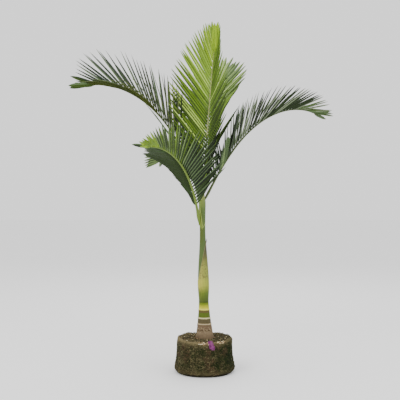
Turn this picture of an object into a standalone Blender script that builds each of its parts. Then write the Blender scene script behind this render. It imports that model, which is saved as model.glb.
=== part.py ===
"""Young alexander palm standing on its root ball.

Metres, +Z up, the viewer stands on the -Y side. The origin is the centre of the
flat underside of the root ball. Each frond is a stalk swept along a bending
line, with its leaflets drawn out of the two upper faces of that stalk.
"""

import math
from dataclasses import dataclass

import bmesh
import bpy
from mathutils import Vector
from mathutils.bvhtree import BVHTree

# Clear gap between neighbouring solids
GAP = 0.0003

# Root ball
BALL_FOOT_R = 0.152
BALL_WIDE_R = 0.1735
BALL_WIDE_Z = 0.030
BALL_BODY_R = 0.1580
BALL_TOP_Z = 0.190
BALL_SEAT_Z = 0.190
BALL_SEAT_R = 0.060
BALL_RIM_RISE = 0.008
BALL_LUMP = 0.0020
BALL_SEGMENTS = 60

# Trunk, from the soil to the foot of the crownshaft
TRUNK_TOP_Z = 0.401
TRUNK_TOP_R = 0.0281
TRUNK_FLARE = 0.0234
TRUNK_FLARE_POWER = 1.35
TRUNK_SCARS = (0.274, 0.3085, 0.355)
TRUNK_SCAR_RISE = 0.0012
TRUNK_SCAR_WIDTH = 0.0042
TRUNK_RINGS = 26
STEM_SEGMENTS = 32

# Lean of the stem axis
AXIS_FOOT_X = 0.0038
AXIS_SHIFT = 0.0154
AXIS_SPAN = 0.66
AXIS_POWER = 0.6

# Crownshaft: the swollen sheaths above the trunk
SHAFT_SWELL_Z = 0.495
SHAFT_SWELL_R = 0.0316
SHAFT_NECK_Z = 0.815
SHAFT_NECK_R = 0.0151
SHAFT_TOP_Z = 0.985
SHAFT_TOP_R = 0.0176
SHEATH_LIP = 0.0014
SHEATH_EDGE_HIGH = (0.0118, 0.763)
SHEATH_EDGE_LOW = (-0.0290, 0.567)

# Stalks and leaflets
STALK_FOOT = 0.0056
STALK_MID = 0.0046
STALK_TIP = 0.0013
PETIOLE_STEP = 0.026
FEET_RADIUS = 0.0108
LEAF_THICK = 0.0018
LEAF_THICK_SHARE = 0.0102
LEAF_WIDEST = 0.60
LEAF_TILT = 27.0
CLEARANCE = 0.0007
CLOSE_CLEARANCE = 0.0002
SHORTENINGS = (1.0, 0.86, 0.72, 0.58, 0.44)

# Foot of the outer frond, on the side of the crownshaft
SIDE_FOOT_COMPASS = 208.3
SIDE_FOOT_Z = 0.857
SIDE_FOOT_SPREAD = 0.0042


@dataclass
class Frond:
    """One frond: the bend of its stalk and the spread of its leaflets, in degrees and metres."""

    name: str
    foot: tuple
    heading: float
    sweep: float
    rise: float
    bow: float
    bow_power: float
    length: float
    petiole: float
    pairs: int
    leaf: float
    leaf_width: float
    angle_foot: float
    angle_tip: float
    vee_right: float
    vee_left: float
    roll_foot: float = 0.0
    roll_tip: float = 0.0
    foot_share: float = 0.55
    ramp: float = 0.20
    end_share: float = 0.30
    fall: float = 4.5
    droop: float = 0.04
    turn: float = 1.0
    roll_turn: float = 1.0
    opposite: bool = False
    foot_left: float = 0.0
    left_scale: float = 1.0
    stray: tuple = ()
    split: float = 0.0


def smooth_step(t):
    """Ease from 0 to 1."""
    t = min(1.0, max(0.0, t))
    return t * t * (3.0 - 2.0 * t)


def blend(a, b, t):
    """Straight mix of two sizes."""
    return a + (b - a) * t


def axis_x(z):
    """Sideways place of the stem axis at height z."""
    t = max(0.0, (z - BALL_SEAT_Z) / AXIS_SPAN)
    return AXIS_FOOT_X - AXIS_SHIFT * t ** AXIS_POWER


def crown_foot(compass):
    """Foot of a frond on the flat top of the crownshaft."""
    a = math.radians(compass)
    x = axis_x(SHAFT_TOP_Z) + FEET_RADIUS * math.cos(a)
    return (x, FEET_RADIUS * math.sin(a), SHAFT_TOP_Z + GAP)


def shaft_radius(z):
    """Swelling and neck of the crownshaft."""
    if z < SHAFT_SWELL_Z:
        t = smooth_step((z - TRUNK_TOP_Z) / (SHAFT_SWELL_Z - TRUNK_TOP_Z))
        return blend(TRUNK_TOP_R, SHAFT_SWELL_R, t)
    if z < SHAFT_NECK_Z:
        t = smooth_step((z - SHAFT_SWELL_Z) / (SHAFT_NECK_Z - SHAFT_SWELL_Z))
        return blend(SHAFT_SWELL_R, SHAFT_NECK_R, t)
    t = smooth_step((z - SHAFT_NECK_Z) / (SHAFT_TOP_Z - SHAFT_NECK_Z))
    return blend(SHAFT_NECK_R, SHAFT_TOP_R, t)


def side_foot():
    """Foot of the outer frond, close against the side of the crownshaft."""
    a = math.radians(SIDE_FOOT_COMPASS)
    reach = shaft_radius(SIDE_FOOT_Z) + SIDE_FOOT_SPREAD
    x = axis_x(SIDE_FOOT_Z) + reach * math.cos(a)
    return (x, reach * math.sin(a), SIDE_FOOT_Z)


FRONDS = (
    Frond("frond_centre", crown_foot(285), -75.0, 0.0, 86.0, 18.0, 1.6, 0.895, 0.10, 32,
          0.345, 0.023, 42.0, 5.0, 12.0, 39.0, 0.0, -5.0, left_scale=0.95, end_share=0.38,
          fall=2.6, turn=4.5),
    Frond("frond_front", side_foot(), 253.9, -12.8, 65.4, 72.8, 1.127, 0.814,
          0.118, 29, 0.250, 0.018, 43.0, 20.0, 8.0, 14.0, 7.0, -38.0, foot_share=0.20,
          foot_left=0.95, left_scale=0.88, ramp=0.26, end_share=0.48, split=0.56),
    Frond("frond_left", crown_foot(213), 179.0, 8.5, 72.45, 83.0, 1.94, 1.034, 0.10, 33,
          0.365, 0.013, 42.0, 13.0, 40.0, 40.0, 0.0, 46.0, end_share=0.26, fall=5.5,
          turn=4.0, roll_turn=5.0, split=0.55, opposite=True, stray=(0.10, 0.24, -40.0, 18.0)),
    Frond("frond_right", crown_foot(357), -4.2, 27.0, 62.75, 86.9, 2.2, 0.963, 0.135, 32,
          0.305, 0.014, 42.0, 16.0, 40.0, 40.0, 0.0, 15.0, end_share=0.36, fall=2.6,
          turn=3.0, roll_turn=2.0, split=0.55, opposite=True),
    Frond("frond_back", crown_foot(69), 72.0, 0.0, 75.5, 23.0, 1.2, 0.890, 0.10, 30,
          0.312, 0.021, 42.0, 8.0, 5.0, 5.0, 0.0, 0.0, foot_share=0.50, ramp=0.72,
          end_share=0.50, fall=7.0, turn=6.0),
    Frond("frond_rear", crown_foot(141), 125.0, 0.0, 71.0, 101.0, 1.35, 0.600, 0.10, 22,
          0.205, 0.017, 42.0, 26.0, 10.0, 10.0, 0.0, 0.0, end_share=0.5, split=0.55),
)

COLOURS = {
    "root_ball": (0.055, 0.042, 0.024),
    "trunk": (0.20, 0.16, 0.09),
    "old_sheath": (0.40, 0.40, 0.17),
    "crownshaft": (0.22, 0.30, 0.10),
    "frond_centre": (0.20, 0.33, 0.05),
    "frond_front": (0.07, 0.13, 0.045),
    "frond_left": (0.06, 0.11, 0.035),
    "frond_right": (0.06, 0.11, 0.04),
    "frond_back": (0.13, 0.22, 0.08),
    "frond_rear": (0.09, 0.14, 0.04),
}


def clear_scene():
    """Empty the scene before building."""
    for obj in list(bpy.data.objects):
        bpy.data.objects.remove(obj, do_unlink=True)


def parts_collection():
    """Collection that holds every part of the palm."""
    group = bpy.data.collections.new("palm_parts")
    bpy.context.scene.collection.children.link(group)
    return group


def finish(name):
    """Plain leaf, bark or soil finish for one part."""
    key = name.replace("_lower", "").replace("_upper", "")
    mat = bpy.data.materials.new(name + "_finish")
    mat.use_nodes = True
    shader = mat.node_tree.nodes["Principled BSDF"]
    shader.inputs["Base Color"].default_value = (*COLOURS[key], 1.0)
    shader.inputs["Roughness"].default_value = 0.9 if name == "root_ball" else 0.5
    return mat


def to_object(bm, name, group):
    """Turn a mesh into a named object with its own finish."""
    bmesh.ops.recalc_face_normals(bm, faces=bm.faces)
    mesh = bpy.data.meshes.new(name)
    bm.to_mesh(mesh)
    bm.free()
    mesh.materials.append(finish(name))
    obj = bpy.data.objects.new(name, mesh)
    group.objects.link(obj)
    return obj


def loft_start(segments):
    """Flat disc whose rim is the first ring of a turned form."""
    bm = bmesh.new()
    bmesh.ops.create_circle(bm, cap_ends=True, segments=segments, radius=1.0)
    bm.faces.ensure_lookup_table()
    cap = bm.faces[0]
    return bm, cap


def loft_next(bm, cap):
    """Raise the end cap into a new ring; only the very first cap stays behind as the bottom."""
    alone = len(bm.faces) == 1
    made = bmesh.ops.extrude_face_region(bm, geom=[cap], use_keep_orig=True)
    if not alone:
        bm.faces.remove(cap)
    return [f for f in made["geom"] if isinstance(f, bmesh.types.BMFace)][0]


def turned(segments, rings):
    """Closed turned form; rings is a list of functions from angle to a point."""
    bm, cap = loft_start(segments)
    angles = {}
    for corner in cap.verts:
        angles[corner] = math.atan2(corner.co.y, corner.co.x)
    for corner in cap.verts:
        corner.co = rings[0](angles[corner])
    for ring in rings[1:]:
        old = {tuple(round(c, 9) for c in v.co): angles[v] for v in cap.verts}
        cap = loft_next(bm, cap)
        for corner in cap.verts:
            angles[corner] = old[tuple(round(c, 9) for c in corner.co)]
        for corner in cap.verts:
            corner.co = ring(angles[corner])
    return bm


def lump(angle, z):
    """Uneven swelling of the fibrous root ball, from -1 to 1."""
    return (0.5 * math.sin(5.0 * angle + 9.0 * z + 0.6)
            + 0.3 * math.sin(9.0 * angle - 31.0 * z + 2.1)
            + 0.2 * math.sin(14.0 * angle + 47.0 * z))


def ball_ring(radius, z, lumpy, rim):
    """One level ring of the root ball, made uneven by a share."""
    def at(angle):
        r = radius + BALL_LUMP * lumpy * lump(angle, z)
        rise = BALL_RIM_RISE * rim * (0.5 + 0.5 * lump(angle, 0.3)) * abs(math.cos(angle))
        return Vector((r * math.cos(angle), r * math.sin(angle), z + rise))
    return at


def build_root_ball(group):
    """Root ball with a flat underside, a rounded lower edge and an uneven top."""
    rings = [ball_ring(BALL_FOOT_R, 0.0, 0.0, 0.0)]
    steps = 4
    for i in range(1, steps + 1):
        a = 0.5 * math.pi * i / steps
        r = BALL_FOOT_R + (BALL_WIDE_R - BALL_FOOT_R) * math.sin(a)
        z = BALL_WIDE_Z * (1.0 - math.cos(a))
        rings.append(ball_ring(r, z, i / steps, 0.0))
    rows = 6
    for i in range(1, rows + 1):
        t = i / rows
        z = blend(BALL_WIDE_Z, BALL_TOP_Z - 0.009, t)
        r = BALL_BODY_R + (BALL_WIDE_R - BALL_BODY_R) * (1.0 - t) ** 2.2
        rings.append(ball_ring(r, z, 1.0, 0.4 * (i == rows)))
    rings.append(ball_ring(BALL_BODY_R - 0.007, BALL_TOP_Z, 1.0, 1.0))
    rings.append(ball_ring(BALL_BODY_R - 0.026, BALL_TOP_Z + 0.001, 0.8, 0.7))
    rings.append(ball_ring(0.5 * (BALL_BODY_R + BALL_SEAT_R), BALL_SEAT_Z - 0.002, 0.5, 0.2))
    rings.append(ball_ring(BALL_SEAT_R, BALL_SEAT_Z, 0.0, 0.0))
    return to_object(turned(BALL_SEGMENTS, rings), "root_ball", group)


def stem_ring(radius, z):
    """Round level ring on the leaning stem axis."""
    def at(angle):
        x = axis_x(z) + radius * math.cos(angle)
        return Vector((x, radius * math.sin(angle), z))
    return at


def trunk_radius(z):
    """Tapering trunk with a flared foot and slightly raised leaf scars."""
    t = (TRUNK_TOP_Z - z) / (TRUNK_TOP_Z - BALL_SEAT_Z)
    r = TRUNK_TOP_R + TRUNK_FLARE * max(0.0, t) ** TRUNK_FLARE_POWER
    for scar in TRUNK_SCARS:
        r += TRUNK_SCAR_RISE * math.exp(-((z - scar) / TRUNK_SCAR_WIDTH) ** 2)
    return r


def build_trunk(group):
    """Trunk from the soil to the foot of the sheaths, flat cut at both ends."""
    bottom = BALL_SEAT_Z + GAP
    rings = []
    for i in range(TRUNK_RINGS + 1):
        z = blend(bottom, TRUNK_TOP_Z, i / TRUNK_RINGS)
        rings.append(stem_ring(trunk_radius(z), z))
    return to_object(turned(STEM_SEGMENTS, rings), "trunk", group)


def sheath_edge():
    """Point on, and direction across, the slanting free edge of the old sheath."""
    high = Vector((SHEATH_EDGE_HIGH[0], 0.0, SHEATH_EDGE_HIGH[1]))
    low = Vector((SHEATH_EDGE_LOW[0], 0.0, SHEATH_EDGE_LOW[1]))
    along = (high - low).normalized()
    across = Vector((-along.z, 0.0, along.x))
    return high, across


def cut_and_close(bm, point, direction, keep_behind):
    """Cut a form by a plane, drop one side and close the cut."""
    geom = list(bm.verts) + list(bm.edges) + list(bm.faces)
    made = bmesh.ops.bisect_plane(bm, geom=geom, dist=1e-7, plane_co=point, plane_no=direction,
                                  clear_outer=keep_behind, clear_inner=not keep_behind)
    edges = [e for e in made["geom_cut"] if isinstance(e, bmesh.types.BMEdge)]
    bmesh.ops.holes_fill(bm, edges=edges, sides=0)


def build_sheaths(group):
    """Old outer sheath below the slanting edge and the crownshaft that rises out of it."""
    point, across = sheath_edge()
    rings = []
    foot = TRUNK_TOP_Z + GAP
    count = 22
    for i in range(count + 1):
        z = blend(foot, 0.80, i / count)
        rings.append(stem_ring(shaft_radius(z) + SHEATH_LIP * smooth_step((z - foot) / 0.1), z))
    old = turned(STEM_SEGMENTS, rings)
    cut_and_close(old, point, across, True)
    to_object(old, "old_sheath", group)
    rings = []
    count = 24
    for i in range(count + 1):
        z = blend(0.52, SHAFT_TOP_Z, i / count)
        rings.append(stem_ring(shaft_radius(z), z))
    inner = turned(STEM_SEGMENTS, rings)
    cut_and_close(inner, point + across * GAP, across, False)
    to_object(inner, "crownshaft", group)


def frame_at(frond, share):
    """Direction, right side and upper side of the stalk at a share of its length."""
    rise = math.radians(frond.rise - frond.bow * share ** frond.bow_power)
    compass = math.radians(frond.heading + frond.sweep * share)
    ahead = Vector((math.cos(rise) * math.cos(compass), math.cos(rise) * math.sin(compass),
                    math.sin(rise)))
    side = Vector((math.sin(compass), -math.cos(compass), 0.0))
    up = side.cross(ahead)
    roll = math.radians(blend(frond.roll_foot, frond.roll_tip, share ** frond.roll_turn))
    right = side * math.cos(roll) + up * math.sin(roll)
    above = up * math.cos(roll) - side * math.sin(roll)
    return ahead, right, above


def stations(frond):
    """Rings along the stalk: place, frame, share of the length, share of the blade."""
    petiole_steps = max(3, round(frond.petiole / PETIOLE_STEP))
    blade_steps = 2 * frond.pairs
    lengths = [frond.petiole / petiole_steps] * petiole_steps
    lengths += [(frond.length - frond.petiole) / blade_steps] * blade_steps
    place = Vector(frond.foot)
    run = 0.0
    rows = []
    for i in range(len(lengths) + 1):
        share = run / frond.length
        ahead, right, above = frame_at(frond, share)
        blade = (run - frond.petiole) / (frond.length - frond.petiole)
        rows.append((place.copy(), ahead, right, above, share, blade))
        if i < len(lengths):
            halfway = (run + 0.5 * lengths[i]) / frond.length
            place += frame_at(frond, halfway)[0] * lengths[i]
            run += lengths[i]
    return rows, petiole_steps


def stalk_half(share, petiole_share):
    """Half height of the four-sided stalk at a share of its length."""
    if share < petiole_share:
        return blend(STALK_FOOT, STALK_MID, share / petiole_share)
    return blend(STALK_MID, STALK_TIP, (share - petiole_share) / (1.0 - petiole_share))


def stalk_corners(row, half, shift=0.0):
    """Four corners of the stalk: above, right, below, left."""
    place, ahead, right, above = row[0], row[1], row[2], row[3]
    centre = place + ahead * shift
    return [centre + above * half, centre + right * half,
            centre - above * half, centre - right * half]


def build_stalk(frond, rows, first, last, level_foot):
    """Closed four-sided stalk between two rings; returns the mesh and its ring corners."""
    bm = bmesh.new()
    petiole_share = frond.petiole / frond.length
    corners = stalk_corners(rows[first], stalk_half(rows[first][4], petiole_share),
                            GAP if first > 0 else 0.0)
    if level_foot:
        flat = []
        for corner in corners:
            ahead = rows[first][1]
            flat.append(corner + ahead * ((frond.foot[2] - corner.z) / ahead.z))
        corners = flat
    ring = [bm.verts.new(c) for c in corners]
    cap = bm.faces.new(ring)
    rings = {first: ring}
    for i in range(first + 1, last + 1):
        cap = loft_next(bm, cap)
        target = stalk_corners(rows[i], stalk_half(rows[i][4], petiole_share))
        fresh = [None] * 4
        for vert in cap.verts:
            gaps = [(vert.co - old.co).length for old in rings[i - 1]]
            fresh[gaps.index(min(gaps))] = vert
        for vert, co in zip(fresh, target):
            vert.co = co
        rings[i] = fresh
    return bm, rings


def leaf_length(frond, blade, sign):
    """Length of a leaflet by its place along the blade and its side."""
    foot = frond.foot_left if sign < 0 and frond.foot_left > 0.0 else frond.foot_share
    grow = foot + (1.0 - foot) * min(1.0, blade / frond.ramp)
    fade = 1.0 - (1.0 - frond.end_share) * blade ** frond.fall
    side = frond.left_scale if sign < 0 else 1.0
    return frond.leaf * grow * fade * side


def leaf_plan(frond, row, sign):
    """Root, direction, breadth direction and length of one leaflet."""
    place, ahead, right, above, share, blade = row
    angle = math.radians(blend(frond.angle_foot, frond.angle_tip, blade ** frond.turn))
    vee = math.radians(frond.vee_right if sign > 0 else frond.vee_left)
    if frond.stray and sign < 0 and frond.stray[0] < blade < frond.stray[1]:
        vee = math.radians(frond.stray[2])
        angle = math.radians(frond.stray[3])
    out = right * sign * math.cos(vee) + above * math.sin(vee)
    direction = (ahead * math.cos(angle) + out * math.sin(angle)).normalized()
    breadth = (ahead - direction * ahead.dot(direction)).normalized()
    face = direction.cross(breadth)
    if face.dot(above) < 0.0:
        face = -face
    tilt = math.radians(LEAF_TILT)
    breadth = (breadth * math.cos(tilt) - face * math.sin(tilt)).normalized()
    face = direction.cross(breadth)
    if face.dot(above) < 0.0:
        face = -face
    return place, direction, breadth, face, leaf_length(frond, blade, sign)


def leaf_points(frond, plan, scale, extra=0.0):
    """Corners at the widest place and the tip of a leaflet."""
    place, direction, breadth, face, length = plan
    length *= scale
    width = 0.5 * frond.leaf_width * min(1.0, 0.45 + 2.2 * length) + extra
    thick = 0.5 * max(LEAF_THICK, LEAF_THICK_SHARE * length) + extra
    middle = place + direction * length * LEAF_WIDEST
    onward = (direction + Vector((0.0, 0.0, -frond.droop))).normalized()
    tip = middle + onward * (length * (1.0 - LEAF_WIDEST) + extra)
    corners = {
        (0, 1): middle - breadth * width + face * thick,
        (1, 1): middle + breadth * width + face * thick,
        (1, 0): middle + breadth * width - face * thick,
        (0, 0): middle - breadth * width - face * thick,
    }
    return corners, tip


def root_corners(near, far, sign):
    """Corners of the stalk face that a leaflet grows from, keyed like its widest place."""
    outer = 1 if sign > 0 else 3
    return {(0, 1): near[0], (0, 0): near[outer], (1, 0): far[outer], (1, 1): far[0]}


def wedge(roots, corners, tip, start):
    """Closed thin wedge used to test whether a leaflet would touch anything."""
    order = [(0, 1), (1, 1), (1, 0), (0, 0)]
    base = [roots[k].co.lerp(corners[k], start) for k in order]
    ring = [corners[k] for k in order]
    middle = sum(ring, Vector()) / 4.0
    ends = [tip + (corner - middle) * 0.1 for corner in ring]
    verts = base + ring + ends
    polys = []
    for level in (0, 4):
        for k in range(4):
            n = (k + 1) % 4
            polys.append((level + k, level + n, level + 4 + n, level + 4 + k))
    polys.append((8, 9, 10, 11))
    return verts, polys


class Obstacles:
    """Solids that a new leaflet has to keep clear of."""

    def __init__(self):
        self.verts = []
        self.polys = []

    def add(self, verts, polys):
        """Add corners and faces to the set."""
        base = len(self.verts)
        self.verts.extend(verts)
        for poly in polys:
            self.polys.append(tuple(base + i for i in poly))

    def add_mesh(self, bm):
        """Add every face of a mesh."""
        bm.verts.index_update()
        self.add([v.co.copy() for v in bm.verts],
                 [tuple(v.index for v in f.verts) for f in bm.faces])

    def hit(self, verts, polys):
        """Tell whether a wedge would cross anything in the set."""
        if not self.polys:
            return False
        tree = BVHTree.FromPolygons(self.verts, self.polys)
        other = BVHTree.FromPolygons(verts, polys)
        return bool(tree.overlap(other))


def grow_leaflet(bm, roots, corners, tip):
    """Draw one leaflet out of an upper side face of the stalk."""
    face = bm.faces.get(tuple(roots[k] for k in ((0, 1), (0, 0), (1, 0), (1, 1))))
    spots = [(v.co.copy(), key) for key, v in roots.items()]
    made = bmesh.ops.extrude_discrete_faces(bm, faces=[face])
    blade = made["faces"][0]
    for vert in blade.verts:
        best = min(spots, key=lambda s: (s[0] - vert.co).length)
        vert.co = corners[best[1]]
    made = bmesh.ops.extrude_discrete_faces(bm, faces=[blade])
    end = made["faces"][0]
    bmesh.ops.pointmerge(bm, verts=list(end.verts), merge_co=tip)


def leaf_seats(frond, first, end, petiole_steps):
    """Rings that carry a leaflet, and on which side: 1 for the right, -1 for the left."""
    seats = []
    for i in range(first, end):
        even = (i - petiole_steps) % 2 == 0
        if frond.opposite and even:
            seats += [(i, 1), (i, -1)]
        elif not frond.opposite:
            seats.append((i, 1 if even else -1))
    return seats


def build_fronds(group):
    """All stalks first, then the leaflets of each frond, kept clear of one another."""
    plans = {}
    fixed = Obstacles()
    for obj in group.objects:
        mesh = obj.data
        fixed.add([v.co.copy() for v in mesh.vertices], [tuple(p.vertices) for p in mesh.polygons])
    for frond in FRONDS:
        rows, petiole_steps = stations(frond)
        last = len(rows) - 1
        level = frond.foot[2] >= SHAFT_TOP_Z
        if frond.split > 0.0:
            cut = petiole_steps + round(frond.split * 2 * frond.pairs)
            spans = [("_lower", 0, cut), ("_upper", cut, last)]
        else:
            spans = [("", 0, last)]
        pieces = []
        for suffix, first, end in spans:
            bm, rings = build_stalk(frond, rows, first, end, level and first == 0)
            pieces.append((frond.name + suffix, bm, rings, first, end))
        plans[frond.name] = (rows, petiole_steps, pieces)
    placed = {frond.name: Obstacles() for frond in FRONDS}
    counts = {}
    for frond in FRONDS:
        rows, petiole_steps, pieces = plans[frond.name]
        others = Obstacles()
        others.add(fixed.verts, fixed.polys)
        for other in FRONDS:
            if other.name != frond.name:
                for piece in plans[other.name][2]:
                    others.add_mesh(piece[1])
                others.add(placed[other.name].verts, placed[other.name].polys)
        own = placed[frond.name]
        full = 0
        short = 0
        none = 0
        for name, bm, rings, first, end in pieces:
            for i, sign in leaf_seats(frond, max(first, petiole_steps), end, petiole_steps):
                plan = leaf_plan(frond, rows[i], sign)
                roots = root_corners(rings[i], rings[i + 1], sign)
                for scale in SHORTENINGS:
                    outer = wedge(roots, *leaf_points(frond, plan, scale, CLEARANCE), 0.0)
                    inner = wedge(roots, *leaf_points(frond, plan, scale, CLOSE_CLEARANCE), 0.1)
                    if not others.hit(*outer) and not own.hit(*inner):
                        corners, tip = leaf_points(frond, plan, scale)
                        own.add(*wedge(roots, corners, tip, 0.0))
                        grow_leaflet(bm, roots, corners, tip)
                        full += scale == 1.0
                        short += scale < 1.0
                        break
                else:
                    none += 1
        counts[frond.name] = (full, short, none)
    for frond in FRONDS:
        for name, bm, rings, first, end in plans[frond.name][2]:
            to_object(bm, name, group)
    return counts


def main():
    """Build the palm."""
    clear_scene()
    group = parts_collection()
    build_root_ball(group)
    build_trunk(group)
    build_sheaths(group)
    counts = build_fronds(group)
    for name, numbers in counts.items():
        print(name, "full, shortened, left out:", numbers)
    total = 0
    for obj in group.objects:
        faces = sum(len(p.vertices) - 2 for p in obj.data.polygons)
        total += faces
        print(obj.name, "triangles", faces)
    print("all triangles", total)


main()
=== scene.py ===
"""Looks of a young alexander palm standing on its root ball.

Metres, +Z up, the viewer stands on the -Y side. The palm's own sizes are written
here again in the way that its solids have them, so that every finer piece grows on
from the same stem, the same stalks and the same seats of the leaflets.
"""

import logging
import math
import random
from dataclasses import dataclass, field, replace
from enum import Enum, IntEnum
from typing import Callable

import bmesh
import bpy
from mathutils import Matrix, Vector

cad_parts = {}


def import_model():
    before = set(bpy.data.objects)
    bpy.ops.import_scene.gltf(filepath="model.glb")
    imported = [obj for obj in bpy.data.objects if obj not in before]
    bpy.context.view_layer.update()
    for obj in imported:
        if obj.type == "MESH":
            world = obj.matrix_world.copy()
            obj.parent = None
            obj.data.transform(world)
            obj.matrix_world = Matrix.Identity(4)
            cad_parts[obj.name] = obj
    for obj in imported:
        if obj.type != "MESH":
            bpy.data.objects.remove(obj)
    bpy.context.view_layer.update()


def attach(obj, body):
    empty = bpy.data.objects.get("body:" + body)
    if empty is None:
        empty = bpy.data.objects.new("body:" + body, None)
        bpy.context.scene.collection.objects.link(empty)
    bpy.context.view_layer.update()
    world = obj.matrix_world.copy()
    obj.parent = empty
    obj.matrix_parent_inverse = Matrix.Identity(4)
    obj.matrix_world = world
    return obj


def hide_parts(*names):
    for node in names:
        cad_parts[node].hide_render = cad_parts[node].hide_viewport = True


LOG = logging.getLogger("palm")
BODY = "root"
FULL_TURN = 2.0 * math.pi
SCREEN_LIFT, SCREEN_POWER = 0.055, 2.4
SEAT_GAP = 0.0003
CROWN_R = 0.0108
MARGIN_STEPS = 16
LEAF_SHEET = "leaf"
LEAF_STATIONS = (0.0, 0.05, 0.13, 0.24, 0.37, 0.50, 0.63, 0.75, 0.86, 0.94)
Display = tuple[float, float, float]


def linear(colour: Display) -> tuple[float, float, float, float]:
    """Turn a colour as seen on a screen into a base colour.

    Args:
        colour: red, green and blue from 0 to 255.

    Returns:
        Red, green, blue and alpha for a shader.
    """
    shares = [((c / 255.0 + SCREEN_LIFT) / (1.0 + SCREEN_LIFT)) ** SCREEN_POWER for c in colour]
    return (*shares, 1.0)


def smooth_step(t: float) -> float:
    """Ease from 0 to 1."""
    t = min(1.0, max(0.0, t))
    return t * t * (3.0 - 2.0 * t)


def blend(a: float, b: float, t: float) -> float:
    """Straight mix of two sizes."""
    return a + (b - a) * t


# Finishes


class Blending(Enum):
    """How one colour is laid over another."""

    MIX = "MIX"
    MULTIPLY = "MULTIPLY"


class Reckoning(Enum):
    """What a shader does with two values."""

    ADD = "ADD"
    MULTIPLY = "MULTIPLY"


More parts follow.
